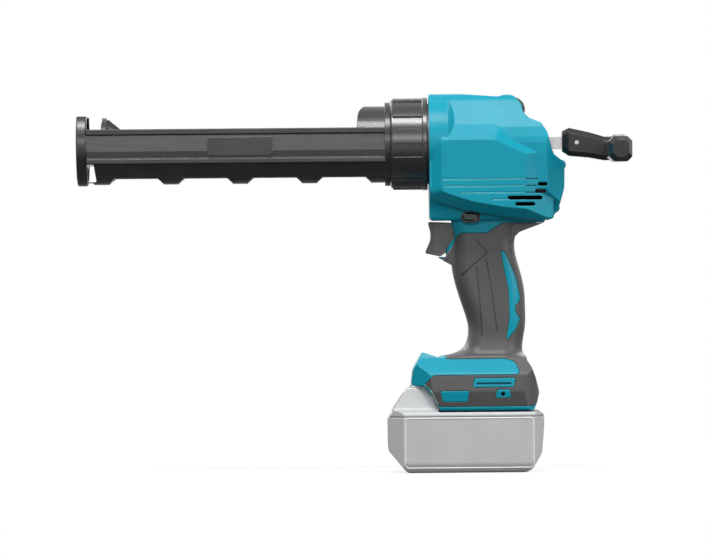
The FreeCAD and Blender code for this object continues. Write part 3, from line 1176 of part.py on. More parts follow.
def make_motor():
    """Brushed motor in its can."""
    inner = MOTOR_R - MOTOR_WALL
    front_wall = MOTOR_FRONT + MOTOR_WALL + 1.0
    can = cyl_x(MOTOR_R, MOTOR_FRONT, MOTOR_REAR, DRIVE_Z).cut(cyl_x(inner, front_wall, FAR, DRIVE_Z))
    can = can.cut(cyl_x(MOTOR_BUSH_R, MOTOR_FRONT - CUT_OVER, FAR, DRIVE_Z))
    save_single("motor_can", can)
    cap_rear = MOTOR_REAR + END_CAP
    boss = cyl_x(MOTOR_BUSH_R + END_BOSS_WALL, MOTOR_REAR, cap_rear + END_BOSS_WALL, DRIVE_Z)
    cap = fused([cyl_x(MOTOR_R, MOTOR_REAR, cap_rear, DRIVE_Z), boss])
    bush_rear = MOTOR_REAR + MOTOR_BUSH_LENGTH
    cap = cap.cut(cyl_x(MOTOR_BUSH_R, MOTOR_REAR - CUT_OVER, bush_rear, DRIVE_Z))
    save_single("motor_end_cap", cap)
    bushes = [ring_x(MOTOR_BUSH_R, MOTOR_SHAFT_R + SHAFT_GAP, MOTOR_FRONT, front_wall, DRIVE_Z),
              ring_x(MOTOR_BUSH_R, MOTOR_SHAFT_R + SHAFT_GAP, MOTOR_REAR, bush_rear, DRIVE_Z)]
    save("motor_bushes", Part.makeCompound(bushes))
    fan_front = front_wall + 0.6
    core_front = fan_front + FAN_LENGTH + 0.4
    core_rear = core_front + ARMATURE_LENGTH
    magnet_r = inner - MAGNET_THICK
    tube = ring_x(inner, magnet_r, core_front, core_rear, DRIVE_Z)
    magnets = [tube.common(half) for half in (block(-FAR, FAR, -FAR, FAR, DRIVE_Z + 5, FAR),
                                              block(-FAR, FAR, -FAR, FAR, -FAR, DRIVE_Z - 5))]
    save("motor_magnets", Part.makeCompound(magnets))
    core_r = magnet_r - AIR_GAP
    core = cyl_x(core_r, core_front, core_rear, DRIVE_Z)
    for i in range(ARMATURE_SLOTS):
        slot = block(core_front - CUT_OVER, core_rear + CUT_OVER, -0.6, 0.6, DRIVE_Z + core_r - 4, FAR)
        slot.rotate(Vector(0, 0, DRIVE_Z), Vector(1, 0, 0), i * 360.0 / ARMATURE_SLOTS)
        core = core.cut(slot)
    gear_front = CASE_REAR + CARRIER_THICK + 2 * RUN_GAP
    shaft = cyl_x(MOTOR_SHAFT_R, gear_front, bush_rear - 0.4, DRIVE_Z)
    save_single("motor_armature", fused([core, shaft]))
    commutator_rear = MOTOR_REAR - 0.6
    commutator_front = commutator_rear - COMMUTATOR_LENGTH
    commutator = ring_x(COMMUTATOR_R, MOTOR_SHAFT_R, commutator_front, commutator_rear, DRIVE_Z)
    save_single("motor_commutator", commutator)
    brush = block(commutator_rear - BRUSH_WIDTH, MOTOR_REAR, COMMUTATOR_R + RUN_GAP,
                  COMMUTATOR_R + RUN_GAP + BRUSH_LENGTH, DRIVE_Z - 2, DRIVE_Z + 2)
    save("motor_brushes", Part.makeCompound(both_sides(brush)))
    hub = cyl_x(4.5, fan_front, fan_front + FAN_LENGTH, DRIVE_Z)
    blades = []
    for i in range(FAN_BLADES):
        blade = block(fan_front, fan_front + FAN_LENGTH, -0.5, 0.5, DRIVE_Z + 3, DRIVE_Z + inner - 1.0)
        blade.rotate(Vector(0, 0, DRIVE_Z), Vector(1, 0, 0), i * 360.0 / FAN_BLADES)
        blades.append(blade)
    fan = fused([hub] + blades).cut(cyl_x(MOTOR_SHAFT_R, fan_front - CUT_OVER, FAR, DRIVE_Z))
    save_single("motor_fan", fan)


# Controls


def make_controls():
    """Trigger with its switch, the lock button and the speed dial."""
    trigger_side = [
        (-26.8, -0.9, 1.2), (-9.5, -1.6, 2), (-6.6, -8.5, 7), (-6.6, -15.5, 7), (-10.5, -21.5, 7),
        (-17.5, -26.6, 1.5), (-28.6, -24.2, 1.0), (-28.4, -22.4, 1.0), (-24.6, -14.0, 12), (-24.9, -8.0, 12),
    ]
    trigger_side.reverse()
    blade = prism_y(raised(trigger_side, BODY_BOTTOM), -TRIGGER_HALF, TRIGGER_HALF)
    plan = [(-29, -6, 4), (-22, -TRIGGER_HALF, 6), (0, -TRIGGER_HALF, 0), (0, TRIGGER_HALF, 0),
            (-22, TRIGGER_HALF, 6), (-29, 6, 4)]
    blade = blade.common(prism_z(plan, FOOT_TOP, AXIS_Z))
    stem_end = SWITCH_FRONT + 8.0
    stem = cyl_x(TRIGGER_STEM_R, -10, stem_end, TRIGGER_Z)
    save_single("trigger", fused([blade, stem]))
    spring = ring_x(SPRING_R, TRIGGER_STEM_R + 0.4, -6.6 + 0.1, SWITCH_FRONT, TRIGGER_Z)
    save_single("trigger_spring", spring)
    low = TRIGGER_Z - SWITCH_HEIGHT + 9
    switch = block(SWITCH_FRONT, SWITCH_FRONT + SWITCH_LENGTH, -SWITCH_HALF, SWITCH_HALF, low,
                   low + SWITCH_HEIGHT)
    switch = softened(switch, 4.0, lambda edge: edge.BoundBox.ZLength > SWITCH_HEIGHT - 1)
    well_end = stem_end + TRIGGER_TRAVEL + 1.0
    well = cyl_x(TRIGGER_STEM_R + RUN_GAP, SWITCH_FRONT - CUT_OVER, well_end, TRIGGER_Z)
    save_single("switch_body", switch.cut(well))

    lock = obround_y(LOCK_X - LOCK_LENGTH / 2, LOCK_X + LOCK_LENGTH / 2, LOCK_Z, LOCK_HEIGHT, -LOCK_HALF,
                     LOCK_HALF)
    lock = softened(lock, 0.7, lambda edge: edge.BoundBox.YLength < 0.1)
    save_single("lock_button", lock)

    dial = cyl_y(DIAL_R, -DIAL_HALF, DIAL_HALF, DIAL_X, DIAL_Z)
    dial = softened(dial, 0.6, lambda edge: edge.BoundBox.YLength < 0.1)
    for i in range(DIAL_NOTCHES):
        angle = 2 * math.pi * i / DIAL_NOTCHES
        dial = dial.cut(cyl_y(DIAL_NOTCH_R, -FAR, FAR, DIAL_X + DIAL_R * math.cos(angle),
                              DIAL_Z + DIAL_R * math.sin(angle)))
    pin = cyl_y(DIAL_PIN_R, DIAL_HALF, DIAL_HALF + POT_LENGTH, DIAL_X, DIAL_Z)
    save_single("speed_dial", fused([dial, pin]))
    pot_front = DIAL_HALF + RUN_GAP
    pot_rear = pot_front + POT_LENGTH
    pot = block(DIAL_X - POT_HALF, DIAL_X + POT_SHORT, pot_front, pot_rear, DIAL_Z - POT_HALF,
                DIAL_Z + POT_SHORT)
    tongue_rear = DIAL_X - POT_SHORT
    roof = AXIS_Z + ROOF_RISE - WALL
    tongue = block(DIAL_X - POT_HALF, tongue_rear, pot_front, pot_front + 2, DIAL_Z, roof)
    bore = cyl_y(DIAL_PIN_R + SHAFT_GAP, pot_front - CUT_OVER, pot_rear, DIAL_X, DIAL_Z)
    save_single("speed_control", fused([pot, tongue]).cut(bore))


# Foot electronics and the battery pack


def make_foot_parts():
    """Control module above the battery bay, terminal block and blades in it."""
    floor = FOOT_BOTTOM + BAY_HEIGHT + BAY_CEILING
    module = block(-12, 36, -20, 20, floor, floor + 13)
    module = softened(module, 2.0, lambda edge: edge.BoundBox.ZMax > floor + 12)
    save_single("control_module", module)
    roof = FOOT_BOTTOM + BAY_HEIGHT
    terminal = block(RAIL_REAR + 2, BAY_REAR, -18, 18, FOOT_BOTTOM + BAY_LIP_HEIGHT + 1, roof)
    terminal = softened(terminal, 1.0, lambda edge: edge.BoundBox.ZMax < roof - 0.5)
    blade_low = FOOT_BOTTOM + BAY_LIP_HEIGHT + 2
    blades = []
    for y in (-BLADE_Y, BLADE_Y):
        blade = block(RAIL_REAR + 2 - BLADE_LENGTH, RAIL_REAR + 8, y - BLADE_THICK / 2, y + BLADE_THICK / 2,
                      blade_low, blade_low + 5)
        blades.append(blade)
        terminal = terminal.cut(blade)
    save_single("terminal_block", terminal)
    save("terminal_blades", Part.makeCompound(blades))


def battery_form(depth):
    """Outer form of the pack below its rails, drawn in by depth."""
    side = prism_y(inset(BATTERY_SIDE, depth), -FAR, FAR)
    cross = prism_x(inset(BATTERY_CROSS, depth), -FAR, FAR)
    plan = prism_z(inset(BATTERY_PLAN, depth), -FAR, FAR)
    return side.common(cross).common(plan)


def make_battery():
    """Removable pack: tub, lid with rails and hood, release button, cells and their board."""
    outer = battery_form(0.0)
    inner = battery_form(BATTERY_WALL)
    below = block(-FAR, FAR, -FAR, FAR, -FAR, BATTERY_SPLIT)
    above = block(-FAR, FAR, -FAR, FAR, BATTERY_SPLIT, FAR)
    lip = battery_form(PACK_GROOVE).common(below)
    tub = outer.common(block(-FAR, FAR, -FAR, FAR, -FAR, BATTERY_SPLIT - PACK_GROOVE))
    tub = fused([tub, lip]).cut(inner)
    spots = [(x, y) for x in (-PACK_SCREW_X, PACK_SCREW_X) for y in (-PACK_SCREW_Y, PACK_SCREW_Y)]
    for x, y in spots:
        post = outer.common(cyl_z(PACK_SCREW_R + PACK_POST_WALL, 0, BATTERY_SPLIT, x, y))
        tub = fused([tub, post])
        tub = tub.cut(cyl_z(PACK_SCREW_R, -CUT_OVER, FAR, x, y))
        tub = tub.cut(cyl_z(PACK_HEAD_R + SLIDE_GAP, -CUT_OVER, PACK_SEAT, x, y))
    save_single("battery_case_lower", tub)

    rails = bay_space(RAIL_GAP).common(block(RAIL_FRONT, RAIL_REAR, -FAR, FAR, BATTERY_HEIGHT - 1, FAR))
    lid = fused([outer.common(above), rails]).cut(inner)
    web = block(SPRING_WEB_X, SPRING_WEB_X + BATTERY_WALL, -FAR, FAR, BATTERY_SPLIT, FAR)
    lid = fused([lid, web.common(outer)])
    for y in (-BLADE_Y, BLADE_Y):
        side, other_side = y - SLOT_WIDTH / 2, y + SLOT_WIDTH / 2
        contact_rear = CONTACT_FRONT + CONTACT_LENGTH + RUN_GAP
        lid = lid.cut(block(CONTACT_FRONT, FAR, side, other_side, BATTERY_HEIGHT + 1.5, FAR))
        lid = lid.cut(block(CONTACT_FRONT, contact_rear, side, other_side, BATTERY_SPLIT - CUT_OVER, FAR))
    for x, y in spots:
        post = outer.common(cyl_z(PACK_SCREW_R + PACK_POST_WALL, BATTERY_SPLIT, BATTERY_HEIGHT, x, y))
        pilot = cyl_z(PACK_SCREW_R, BATTERY_SPLIT - CUT_OVER, BATTERY_SPLIT + PACK_BITE, x, y)
        lid = fused([lid, post]).cut(pilot)
    lid = lid.cut(button_form(RUN_GAP, BUTTON_TRAVEL))
    save_single("battery_case_upper", lid)
    save_single("battery_button", button_form(0.0, 0.0))
    spring_z = BATTERY_HEIGHT + BUTTON_SPRING_RISE
    spring_front = SPRING_WEB_X - BUTTON_SPRING_LENGTH
    spring = ring_x(BUTTON_SPRING_R, BUTTON_SPRING_R - 1.0, spring_front, SPRING_WEB_X, spring_z)
    save_single("battery_button_spring", spring)
    save("battery_screws", Part.makeCompound([pack_screw(x, y) for x, y in spots]))
    make_cells()


def pack_screw(x, y):
    """Screw that closes the pack from below."""
    shank = cyl_z(PACK_SCREW_R, PACK_SEAT, BATTERY_SPLIT + PACK_BITE, x, y)
    head = cyl_z(PACK_HEAD_R, PACK_SEAT - PACK_HEAD, PACK_SEAT, x, y)
    recess = block(x - 0.4, x + 0.4, y - 1.6, y + 1.6, PACK_SEAT - PACK_HEAD - CUT_OVER, PACK_SEAT - 1.0)
    cross = block(x - 1.6, x + 1.6, y - 0.4, y + 0.4, PACK_SEAT - PACK_HEAD - CUT_OVER, PACK_SEAT - 1.0)
    return fused([shank, head]).cut(recess).cut(cross)


def make_cells():
    """Cells in rows across the pack, with the board and contacts over them."""
    cells = []
    for row in range(CELL_ROWS):
        for column in range(CELL_COLUMNS):
            x = (column - (CELL_COLUMNS - 1) / 2) * CELL_PITCH
            z = BATTERY_WALL + CELL_R + CELL_GAP + row * CELL_PITCH
            cells.append(cyl_y(CELL_R, -CELL_LENGTH / 2, CELL_LENGTH / 2, x, z))
    save("battery_cells", Part.makeCompound(cells))
    board_low = BATTERY_WALL + 2 * CELL_R + (CELL_ROWS - 1) * CELL_PITCH + 2 * CELL_GAP
    board_high = board_low + BOARD_THICK
    half = CELL_PITCH * CELL_COLUMNS / 2 - 3
    save_single("battery_board", block(-half, half, -BOARD_HALF, BOARD_HALF, board_low, board_high))
    contacts = []
    for y in (-BLADE_Y, BLADE_Y):
        outer = SLOT_WIDTH / 2 - SHAFT_GAP
        contact_rear = CONTACT_FRONT + CONTACT_LENGTH
        yoke = block(CONTACT_FRONT + RUN_GAP, contact_rear, y - outer, y + outer, board_high, CONTACT_TOP)
        inner = BLADE_THICK / 2 + RUN_GAP
        gap = block(CONTACT_FRONT - CUT_OVER, FAR, y - inner, y + inner, BATTERY_HEIGHT + 2, FAR)
        contacts.append(yoke.cut(gap))
    save("battery_contacts", Part.makeCompound(contacts))


def button_form(gap, travel):
    """Release button square to the sloped front of the pack, with room round it and behind it."""
    low, high = Vector(*BUTTON_SLOPE[0]), Vector(*BUTTON_SLOPE[1])
    along = (high - low).normalize()
    outward = Vector(-along.z, 0, along.x)
    first = low + along * (BUTTON_START - gap)
    last = low + along * (BUTTON_START + BUTTON_LENGTH + gap)
    proud = BUTTON_PROUD + 4 * gap
    sunk = BUTTON_DEPTH + travel + gap
    points = [first + outward * proud, first - outward * sunk, last - outward * sunk, last + outward * proud]
    rounding = 0.0 if gap else 0.8
    return prism_y([(p.x, p.z, rounding) for p in points], -BUTTON_HALF - gap, BUTTON_HALF + gap)


def main():
    """Build every piece."""
    os.makedirs("parts", exist_ok=True)
    grip = grip_form()
    foot = foot_form()
    layer = skin_layer(grip, foot)
    casing = make_casing(grip, foot, skin_form(layer, 0.0))
    covers = grooved(skin_form(layer, SKIN_GROOVE), grip)
    for side, shell, cover in zip(("left", "right"), halves(casing), halves(covers)):
        save_single(f"housing_{side}", shell)
        save_single(f"grip_cover_{side}", cover)
    save("housing_screws", make_screws())
    save_single("cartridge_holder", make_holder())
    save_single("lock_collar", make_collar())
    save_single("piston_disc", make_piston())
    save_single("piston_bolt", make_piston_bolt())
    save_single("piston_washer", make_piston_washer())
    save_single("rack_rod", make_rod())
    save_single("pull_handle", make_handle())
    save_single("handle_pin", cyl_y(HANDLE_PIN_R, -HANDLE_PIN_HALF, HANDLE_PIN_HALF, HANDLE_PIN_X, AXIS_Z))
    save_single("rod_guide_front", front_guide_block().cut(rod_passage(-FAR, FAR, SLIDE_GAP)))
    save_single("rod_guide_rear", rear_guide_block().cut(rod_passage(-FAR, FAR, SLIDE_GAP)))
    save_single("gear_case", make_gear_case())
    make_drive()
    make_motor()
    make_controls()
    make_foot_parts()
    make_battery()


if __name__ == "__main__":
    main()
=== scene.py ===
import logging
import math
from dataclasses import dataclass, field
from enum import Enum

import bmesh
import bpy
from mathutils import Euler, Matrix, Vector


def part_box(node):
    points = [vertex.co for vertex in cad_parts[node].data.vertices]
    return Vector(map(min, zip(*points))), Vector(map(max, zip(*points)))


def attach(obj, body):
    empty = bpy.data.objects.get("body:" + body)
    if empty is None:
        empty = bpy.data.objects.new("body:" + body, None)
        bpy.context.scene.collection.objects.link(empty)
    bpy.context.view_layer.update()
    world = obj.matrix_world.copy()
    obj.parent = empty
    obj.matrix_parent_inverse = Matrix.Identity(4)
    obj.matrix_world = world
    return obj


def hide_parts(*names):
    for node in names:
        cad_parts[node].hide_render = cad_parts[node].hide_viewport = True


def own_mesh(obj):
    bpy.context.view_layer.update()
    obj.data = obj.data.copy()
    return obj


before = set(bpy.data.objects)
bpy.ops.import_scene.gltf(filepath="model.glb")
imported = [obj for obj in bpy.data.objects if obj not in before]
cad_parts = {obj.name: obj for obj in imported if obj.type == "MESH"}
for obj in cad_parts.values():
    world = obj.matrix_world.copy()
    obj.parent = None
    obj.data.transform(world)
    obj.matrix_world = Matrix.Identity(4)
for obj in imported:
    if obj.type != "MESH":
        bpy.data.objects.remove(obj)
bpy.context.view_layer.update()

MM = 0.001
WHITE = (1.0, 1.0, 1.0, 1.0)
log = logging.getLogger("caulking_tool")

# Shares of the patterns and normals over which the finishes change.
GRAIN_SPAN = (0.3, 0.7)
GRAIN_SHARE = 0.35
CLOUD_SPAN = (0.45, 0.95)
# Turn of the rounded normal over which edges take their paler colour, part wear and part painted highlight.
EDGE_SPAN = (0.995, 0.86)
# Ambient occlusion over which the painted shade in creases grows.
PAINTED_SHADE_SPAN = (0.25, 0.85)
# Rise of the normal over which faces that look up take the painted top shade.
PAINTED_TOP_SHADE_SPAN = (0.94, 0.99)
BUMP_STRENGTH = 0.35
SEAM_DARK = 0.75
# Colour of the painted shade in creases and corners.
PAINTED_SHADE_BLACK = "#050606"

# Fineness of the round forms.
COIL_STEPS = 24
WIRE_SIDES = 8
RIB_STEPS = 9
RIB_SIDES = 10
BEAD_SIDES = 12
CORNER_STEPS = 10


def linear(hex_colour: str) -> tuple[float, float, float, float]:
    """Turn an sRGB hex colour into a linear one.

    Args:
        hex_colour: six hex digits after a hash sign.

    Returns:
        Linear red, green and blue with full alpha.
    """
    channels = [int(hex_colour[i:i + 2], 16) / 255 for i in (1, 3, 5)]
    return tuple(c / 12.92 if c <= 0.04045 else ((c + 0.055) / 1.055) ** 2.4 for c in channels) + (1.0,)


def add_node(tree: bpy.types.NodeTree, kind: str, settings: dict | None = None,
             inputs: dict | None = None) -> bpy.types.Node:
    """Add one node with its settings, values and links.

    Args:
        tree: shader or geometry node tree.
        kind: Blender's name of the node type.
        settings: properties of the node itself.
        inputs: a value or an output socket for each named or numbered input.

    Returns:
        The new node.
    """
    node = tree.nodes.new(kind)
    for name, value in (settings or {}).items():
        setattr(node, name, value)
    for key, value in (inputs or {}).items():
        if isinstance(value, bpy.types.NodeSocket):
            tree.links.new(value, node.inputs[key])
        else:
            node.inputs[key].default_value = value
    return node


def remap(tree: bpy.types.NodeTree, value: bpy.types.NodeSocket, span: tuple[float, float],
          ends: tuple[float, float] = (0.0, 1.0), curve: str = "LINEAR") -> bpy.types.NodeSocket:
    """Map a span of values to another one, and hold its ends beyond.

    Args:
        tree: shader node tree.
        value: value to map.
        span: first and last value that go in.
        ends: what comes out for them.
        curve: Blender's name of the way between them.

    Returns:
        The mapped value.
    """
    return add_node(tree, "ShaderNodeMapRange", {"interpolation_type": curve},
                    {0: value, 1: span[0], 2: span[1], 3: ends[0], 4: ends[1]}).outputs[0]


def blend(tree: bpy.types.NodeTree, share: bpy.types.NodeSocket, first: object,
          second: object) -> bpy.types.NodeSocket:
    """Mix two colours.

    Args:
        tree: shader node tree.
        share: share of the second colour.
        first: colour or colour socket.
        second: colour or colour socket.

    Returns:
        The mixed colour.
    """
    return add_node(tree, "ShaderNodeMix", {"data_type": "RGBA"},
                    {0: share, 6: first, 7: second}).outputs[2]


def maths(tree: bpy.types.NodeTree, operation: str, *values: object) -> bpy.types.NodeSocket:
    """Reckon with up to three values.

    Args:
        tree: shader or geometry node tree.
        operation: Blender's name of the operation.
        values: numbers or sockets in order.

    Returns:
        The result.
    """
    return add_node(tree, "ShaderNodeMath", {"operation": operation}, dict(enumerate(values))).outputs[0]


class Side(Enum):
    """Side of the tool, as its sign along Y."""

    LEFT = -1
    RIGHT = 1

    @property
    def label(self) -> str:
        """Give the side's word in the names of pieces."""
        return self.name.lower()


class Grain(Enum):
    """Way in which the fine marks of a surface run, as stretch of its pattern along X, Y and Z."""

    EVEN = (1.0, 1.0, 1.0)
    ALONG_X = (0.04, 1.0, 1.0)


@dataclass(frozen=True)
class Finish:
    """A surface: its colours, its fine grain, its cloudiness, its edges paled in part by wear and in part by
    a painted highlight, and a painted shade in its creases.
    """

    name: str
    base: str
    shade: str
    edge: str
    roughness: tuple[float, float]
    metallic: float = 0.0
    ior: float = 1.5
    specular: float = 0.5
    grain_mm: float = 0.6
    grain_depth_mm: float = 0.03
    cloud_mm: float = 25.0
    edge_mm: float = 0.5
    edge_share: float = 0.5
    # Reach and strength of the painted shade in creases.
    crease_mm: float = 3.0
    crease_share: float = 0.5
    grain: Grain = Grain.EVEN
    seam_mm: float = 0.0
    # Colour of a painted shade on faces that look up.
    top: str | None = None

    def material(self) -> bpy.types.Material:
        """Build the material once and hand it out after that.

        Returns:
            The procedural material of this finish.
        """
        known = bpy.data.materials.get(self.name)
        if known is not None:
            return known
        made = bpy.data.materials.new(self.name)
        made.use_nodes = True
        tree = made.node_tree
        tree.nodes.clear()
        place = add_node(tree, "ShaderNodeTexCoord").outputs["Object"]
        along = add_node(tree, "ShaderNodeMapping", None,
                         {"Vector": place, "Scale": self.grain.value}).outputs["Vector"]
        fine = add_node(tree, "ShaderNodeTexNoise", None,
                        {"Vector": along, "Scale": 1 / (self.grain_mm * MM), "Detail": 3.0}).outputs[0]
        cloud = add_node(tree, "ShaderNodeTexNoise", None,
                         {"Vector": place, "Scale": 1 / (self.cloud_mm * MM), "Detail": 4.0}).outputs[0]
        rounded = add_node(tree, "ShaderNodeBevel", {"samples": 4},
                           {"Radius": self.edge_mm * MM}).outputs[0]
        colour = self.colour(tree, place, fine, cloud, rounded)
        rough = remap(tree, fine, GRAIN_SPAN, self.roughness)
        bump = add_node(tree, "ShaderNodeBump", None,
                        {"Strength": BUMP_STRENGTH, "Distance": self.grain_depth_mm * MM, "Height": fine,
                         "Normal": rounded}).outputs[0]
        shader = add_node(tree, "ShaderNodeBsdfPrincipled", None,
                          {"Base Color": colour, "Roughness": rough, "Metallic": self.metallic,
                           "IOR": self.ior, "Specular IOR Level": self.specular, "Normal": bump})
        add_node(tree, "ShaderNodeOutputMaterial", None, {"Surface": shader.outputs[0]})
        return made

    def colour(self, tree: bpy.types.NodeTree, place: bpy.types.NodeSocket, fine: bpy.types.NodeSocket,
               cloud: bpy.types.NodeSocket, rounded: bpy.types.NodeSocket) -> bpy.types.NodeSocket:
        """Mix the colours of the surface, with the painted highlight on its edges and the painted shade in
        its creases and, where set, on faces that look up.

        Args:
            tree: node tree of the material.
            place: object coordinates.
            fine: value of the fine grain.
            cloud: value of the slow cloudiness.
            rounded: normal with its edges rounded.

        Returns:
            The colour socket.
        """
        both = maths(tree, "MULTIPLY_ADD", fine, GRAIN_SHARE, cloud)
        colour = blend(tree, remap(tree, both, CLOUD_SPAN), linear(self.base), linear(self.shade))
        flat = add_node(tree, "ShaderNodeNewGeometry").outputs["Normal"]
        # Painted shade: faces that look up are darkened towards the top colour, to hold back the light from
        # above.
        if self.top:
            height = add_node(tree, "ShaderNodeSeparateXYZ", None, {0: flat}).outputs["Z"]
            colour = blend(tree, remap(tree, height, PAINTED_TOP_SHADE_SPAN), colour, linear(self.top))
        # Edges take the paler edge colour: part wear, part painted highlight.
        turned = add_node(tree, "ShaderNodeVectorMath", {"operation": "DOT_PRODUCT"},
                          {0: rounded, 1: flat}).outputs["Value"]
        wear_and_highlight = remap(tree, turned, EDGE_SPAN, (0.0, self.edge_share))
        colour = blend(tree, wear_and_highlight, colour, linear(self.edge))
        # Painted shade: ambient occlusion darkens creases, corners and gaps towards near black.
        crease = add_node(tree, "ShaderNodeAmbientOcclusion", {"samples": 4},
                          {"Distance": self.crease_mm * MM}).outputs["AO"]
        dark = remap(tree, crease, PAINTED_SHADE_SPAN, (self.crease_share, 0.0))
        if self.seam_mm:
            dark = self.seam(tree, place, dark)
        return blend(tree, dark, colour, linear(PAINTED_SHADE_BLACK))

    def seam(self, tree: bpy.types.NodeTree, place: bpy.types.NodeSocket,
             dark: bpy.types.NodeSocket) -> bpy.types.NodeSocket:
        """Darken the hairline where the two moulded halves meet.

        Args:
            tree: node tree of the material.
            place: object coordinates.
            dark: painted shade of the creases.

        Returns:
            The darkness with the seam in it.
        """
        across = add_node(tree, "ShaderNodeSeparateXYZ", None, {0: place}).outputs["Y"]
        width = self.seam_mm * MM
        line = remap(tree, maths(tree, "ABSOLUTE", across), (width / 2, width), (SEAM_DARK, 0.0))
        return maths(tree, "MAXIMUM", dark, line)


# Glass filled nylon, moulded in a spark eroded tool: a fine sandy grain that keeps the gloss low,
# with paler edges where the light catches them. The grain is drawn coarser than life so that it shows.
TEAL_NYLON = Finish("Teal glass filled nylon", "#0093A9", "#008AA0", "#4CBCCB", (0.30, 0.42),
                    specular=0.2, grain_mm=0.7, grain_depth_mm=0.03, edge_mm=1.1, edge_share=0.5,
                    crease_mm=2.0, crease_share=0.4, seam_mm=0.16)
# The same nylon where it stands up in beads: painted pale as a highlight along the steps of the panels, and a
# little smoother.
PAINTED_HIGHLIGHT_NYLON = Finish("Painted highlight teal nylon", "#58C3D1", "#45B5C5", "#8AD9E3", (0.28, 0.40),
                      specular=0.3, grain_mm=0.7, grain_depth_mm=0.01, edge_mm=0.2, crease_share=0.1)
# Thermoplastic elastomer moulded over the grip: warm dark grey, dull, with paler edges that are part soft
# bloom and part painted highlight.
GRIP_ELASTOMER = Finish("Grip elastomer", "#4B4A4A", "#403F3F", "#777574", (0.40, 0.54),
                        specular=0.45, grain_mm=0.5, grain_depth_mm=0.05, edge_mm=0.6, crease_mm=1.6,
                        crease_share=0.6, seam_mm=0.16)
# Black nylon, moulded and polished by cartridges that slide along it: long faint streaks, half gloss.
HOLDER_NYLON = Finish("Black holder nylon", "#262727", "#1B1C1C", "#6C6E6E", (0.22, 0.36),
                      specular=0.5, grain_mm=1.6, grain_depth_mm=0.015, edge_mm=0.6, edge_share=0.45,
                      grain=Grain.ALONG_X)
# Black acetal, moulded: even and slightly waxy, with grey edges that are part rubbed wear and part painted
# highlight.
COLLAR_ACETAL = Finish("Black collar acetal", "#222323", "#191A1A", "#6A6C6C", (0.20, 0.30),
                       ior=1.48, specular=0.7, grain_mm=0.5, grain_depth_mm=0.02, edge_mm=0.6,
                       edge_share=0.4)
# Black polypropylene with a polished mould surface: deep black with clear highlights.
HANDLE_POLYPROPYLENE = Finish("Gloss black polypropylene", "#151616", "#0F1010", "#3F4241", (0.18, 0.28),
                              ior=1.49, specular=0.5, grain_mm=0.8, grain_depth_mm=0.008, edge_mm=1.2,
                              edge_share=0.15)
# Pale ABS of the battery pack: satin, faintly cloudy, with edges nearly white, part wear and part painted
# highlight.
# The faces that look up, with the rails, carry a painted shade a tone darker, so that they stay readable in
# the light from above.
PACK_ABS = Finish("Pale grey pack ABS", "#BCBEBF", "#B2B4B5", "#EDEEEE", (0.36, 0.52),
                  ior=1.53, grain_mm=0.6, grain_depth_mm=0.03, edge_mm=1.4, edge_share=0.8,
                  crease_share=0.3, top="#85878A")
# Nearly white ABS of the beads on the pack: a painted highlight along the edges of its flat sides and its
# shoulder, satin and nearly without shade.
PAINTED_HIGHLIGHT_ABS = Finish("Painted highlight border ABS", "#E0E1E1", "#D6D8D8", "#F2F2F2", (0.34, 0.48), ior=1.53,
                    grain_mm=0.6, grain_depth_mm=0.02, edge_mm=0.3, crease_share=0.15)
# Mid grey ABS of the trigger, rubbed smooth by the finger.
TRIGGER_ABS = Finish("Grey trigger ABS", "#585959", "#4E4F4F", "#858686", (0.34, 0.50),
                     ior=1.53, specular=0.35, grain_mm=0.6, edge_mm=0.6)
# Green grey acetal of the sliding lock button.
BUTTON_ACETAL = Finish("Grey button acetal", "#3E4543", "#343A38", "#737977", (0.32, 0.46),
                       ior=1.48, specular=0.35, grain_mm=0.5, edge_mm=0.4)
# Zinc plated drawn steel: bright grey with drawing lines along the bar.
PLATED_STEEL = Finish("Zinc plated drawn steel", "#B2B0B1", "#A4A2A3", "#CFCECE", (0.26, 0.42), metallic=1.0,
                      grain_mm=1.2, grain_depth_mm=0.01, edge_mm=0.3, grain=Grain.ALONG_X)
# Hardened and ground gear steel: darker grey with a fine, even grind and bright edges.
GEAR_STEEL = Finish("Ground gear steel", "#8D8F92", "#7C7F83", "#C4C6C8", (0.24, 0.38), metallic=1.0,
                    grain_mm=0.8, grain_depth_mm=0.01, edge_mm=0.2)
# Spring steel wire, drawn and oil dark.
SPRING_STEEL = Finish("Drawn spring steel", "#7E8082", "#6B6D70", "#A9ABAD", (0.30, 0.44), metallic=1.0,
                      grain_mm=0.4, grain_depth_mm=0.005, edge_mm=0.1)
# Black oxide on the drawn steel can of the motor: charcoal, faintly oily.
BLACK_OXIDE_STEEL = Finish("Black oxide steel", "#3A3B3D", "#2E2F31", "#6A6C6F", (0.34, 0.48), metallic=1.0,
                           grain_mm=0.8, grain_depth_mm=0.01, edge_mm=0.3)
# Pressure die cast aluminium: light, faintly mottled skin.
CAST_ALUMINIUM = Finish("Die cast aluminium", "#B4B6B8", "#9EA1A4", "#DADBDC", (0.42, 0.60), metallic=1.0,
                        grain_mm=0.9, grain_depth_mm=0.06, edge_mm=0.4)
# Stamped and turned brass of the contacts, commutator and bushes.
TURNED_BRASS = Finish("Turned brass", "#C9A45C", "#B08C49", "#E3C88E", (0.22, 0.36), metallic=1.0,
                      grain_mm=0.6, grain_depth_mm=0.008, edge_mm=0.2)
# Sintered ferrite and carbon: charcoal, grainy and dull.
SINTERED_FERRITE = Finish("Sintered ferrite", "#3A3B3D", "#2C2D2F", "#5B5C5E", (0.60, 0.80),
                          grain_mm=0.4, grain_depth_mm=0.05, edge_mm=0.2)
# Glass epoxy board under green solder mask: half gloss and faintly mottled.
EPOXY_BOARD = Finish("Green glass epoxy", "#1F5B3A", "#184A2F", "#4C8A68", (0.28, 0.44), ior=1.55,
                     grain_mm=0.9, grain_depth_mm=0.02, edge_mm=0.2)
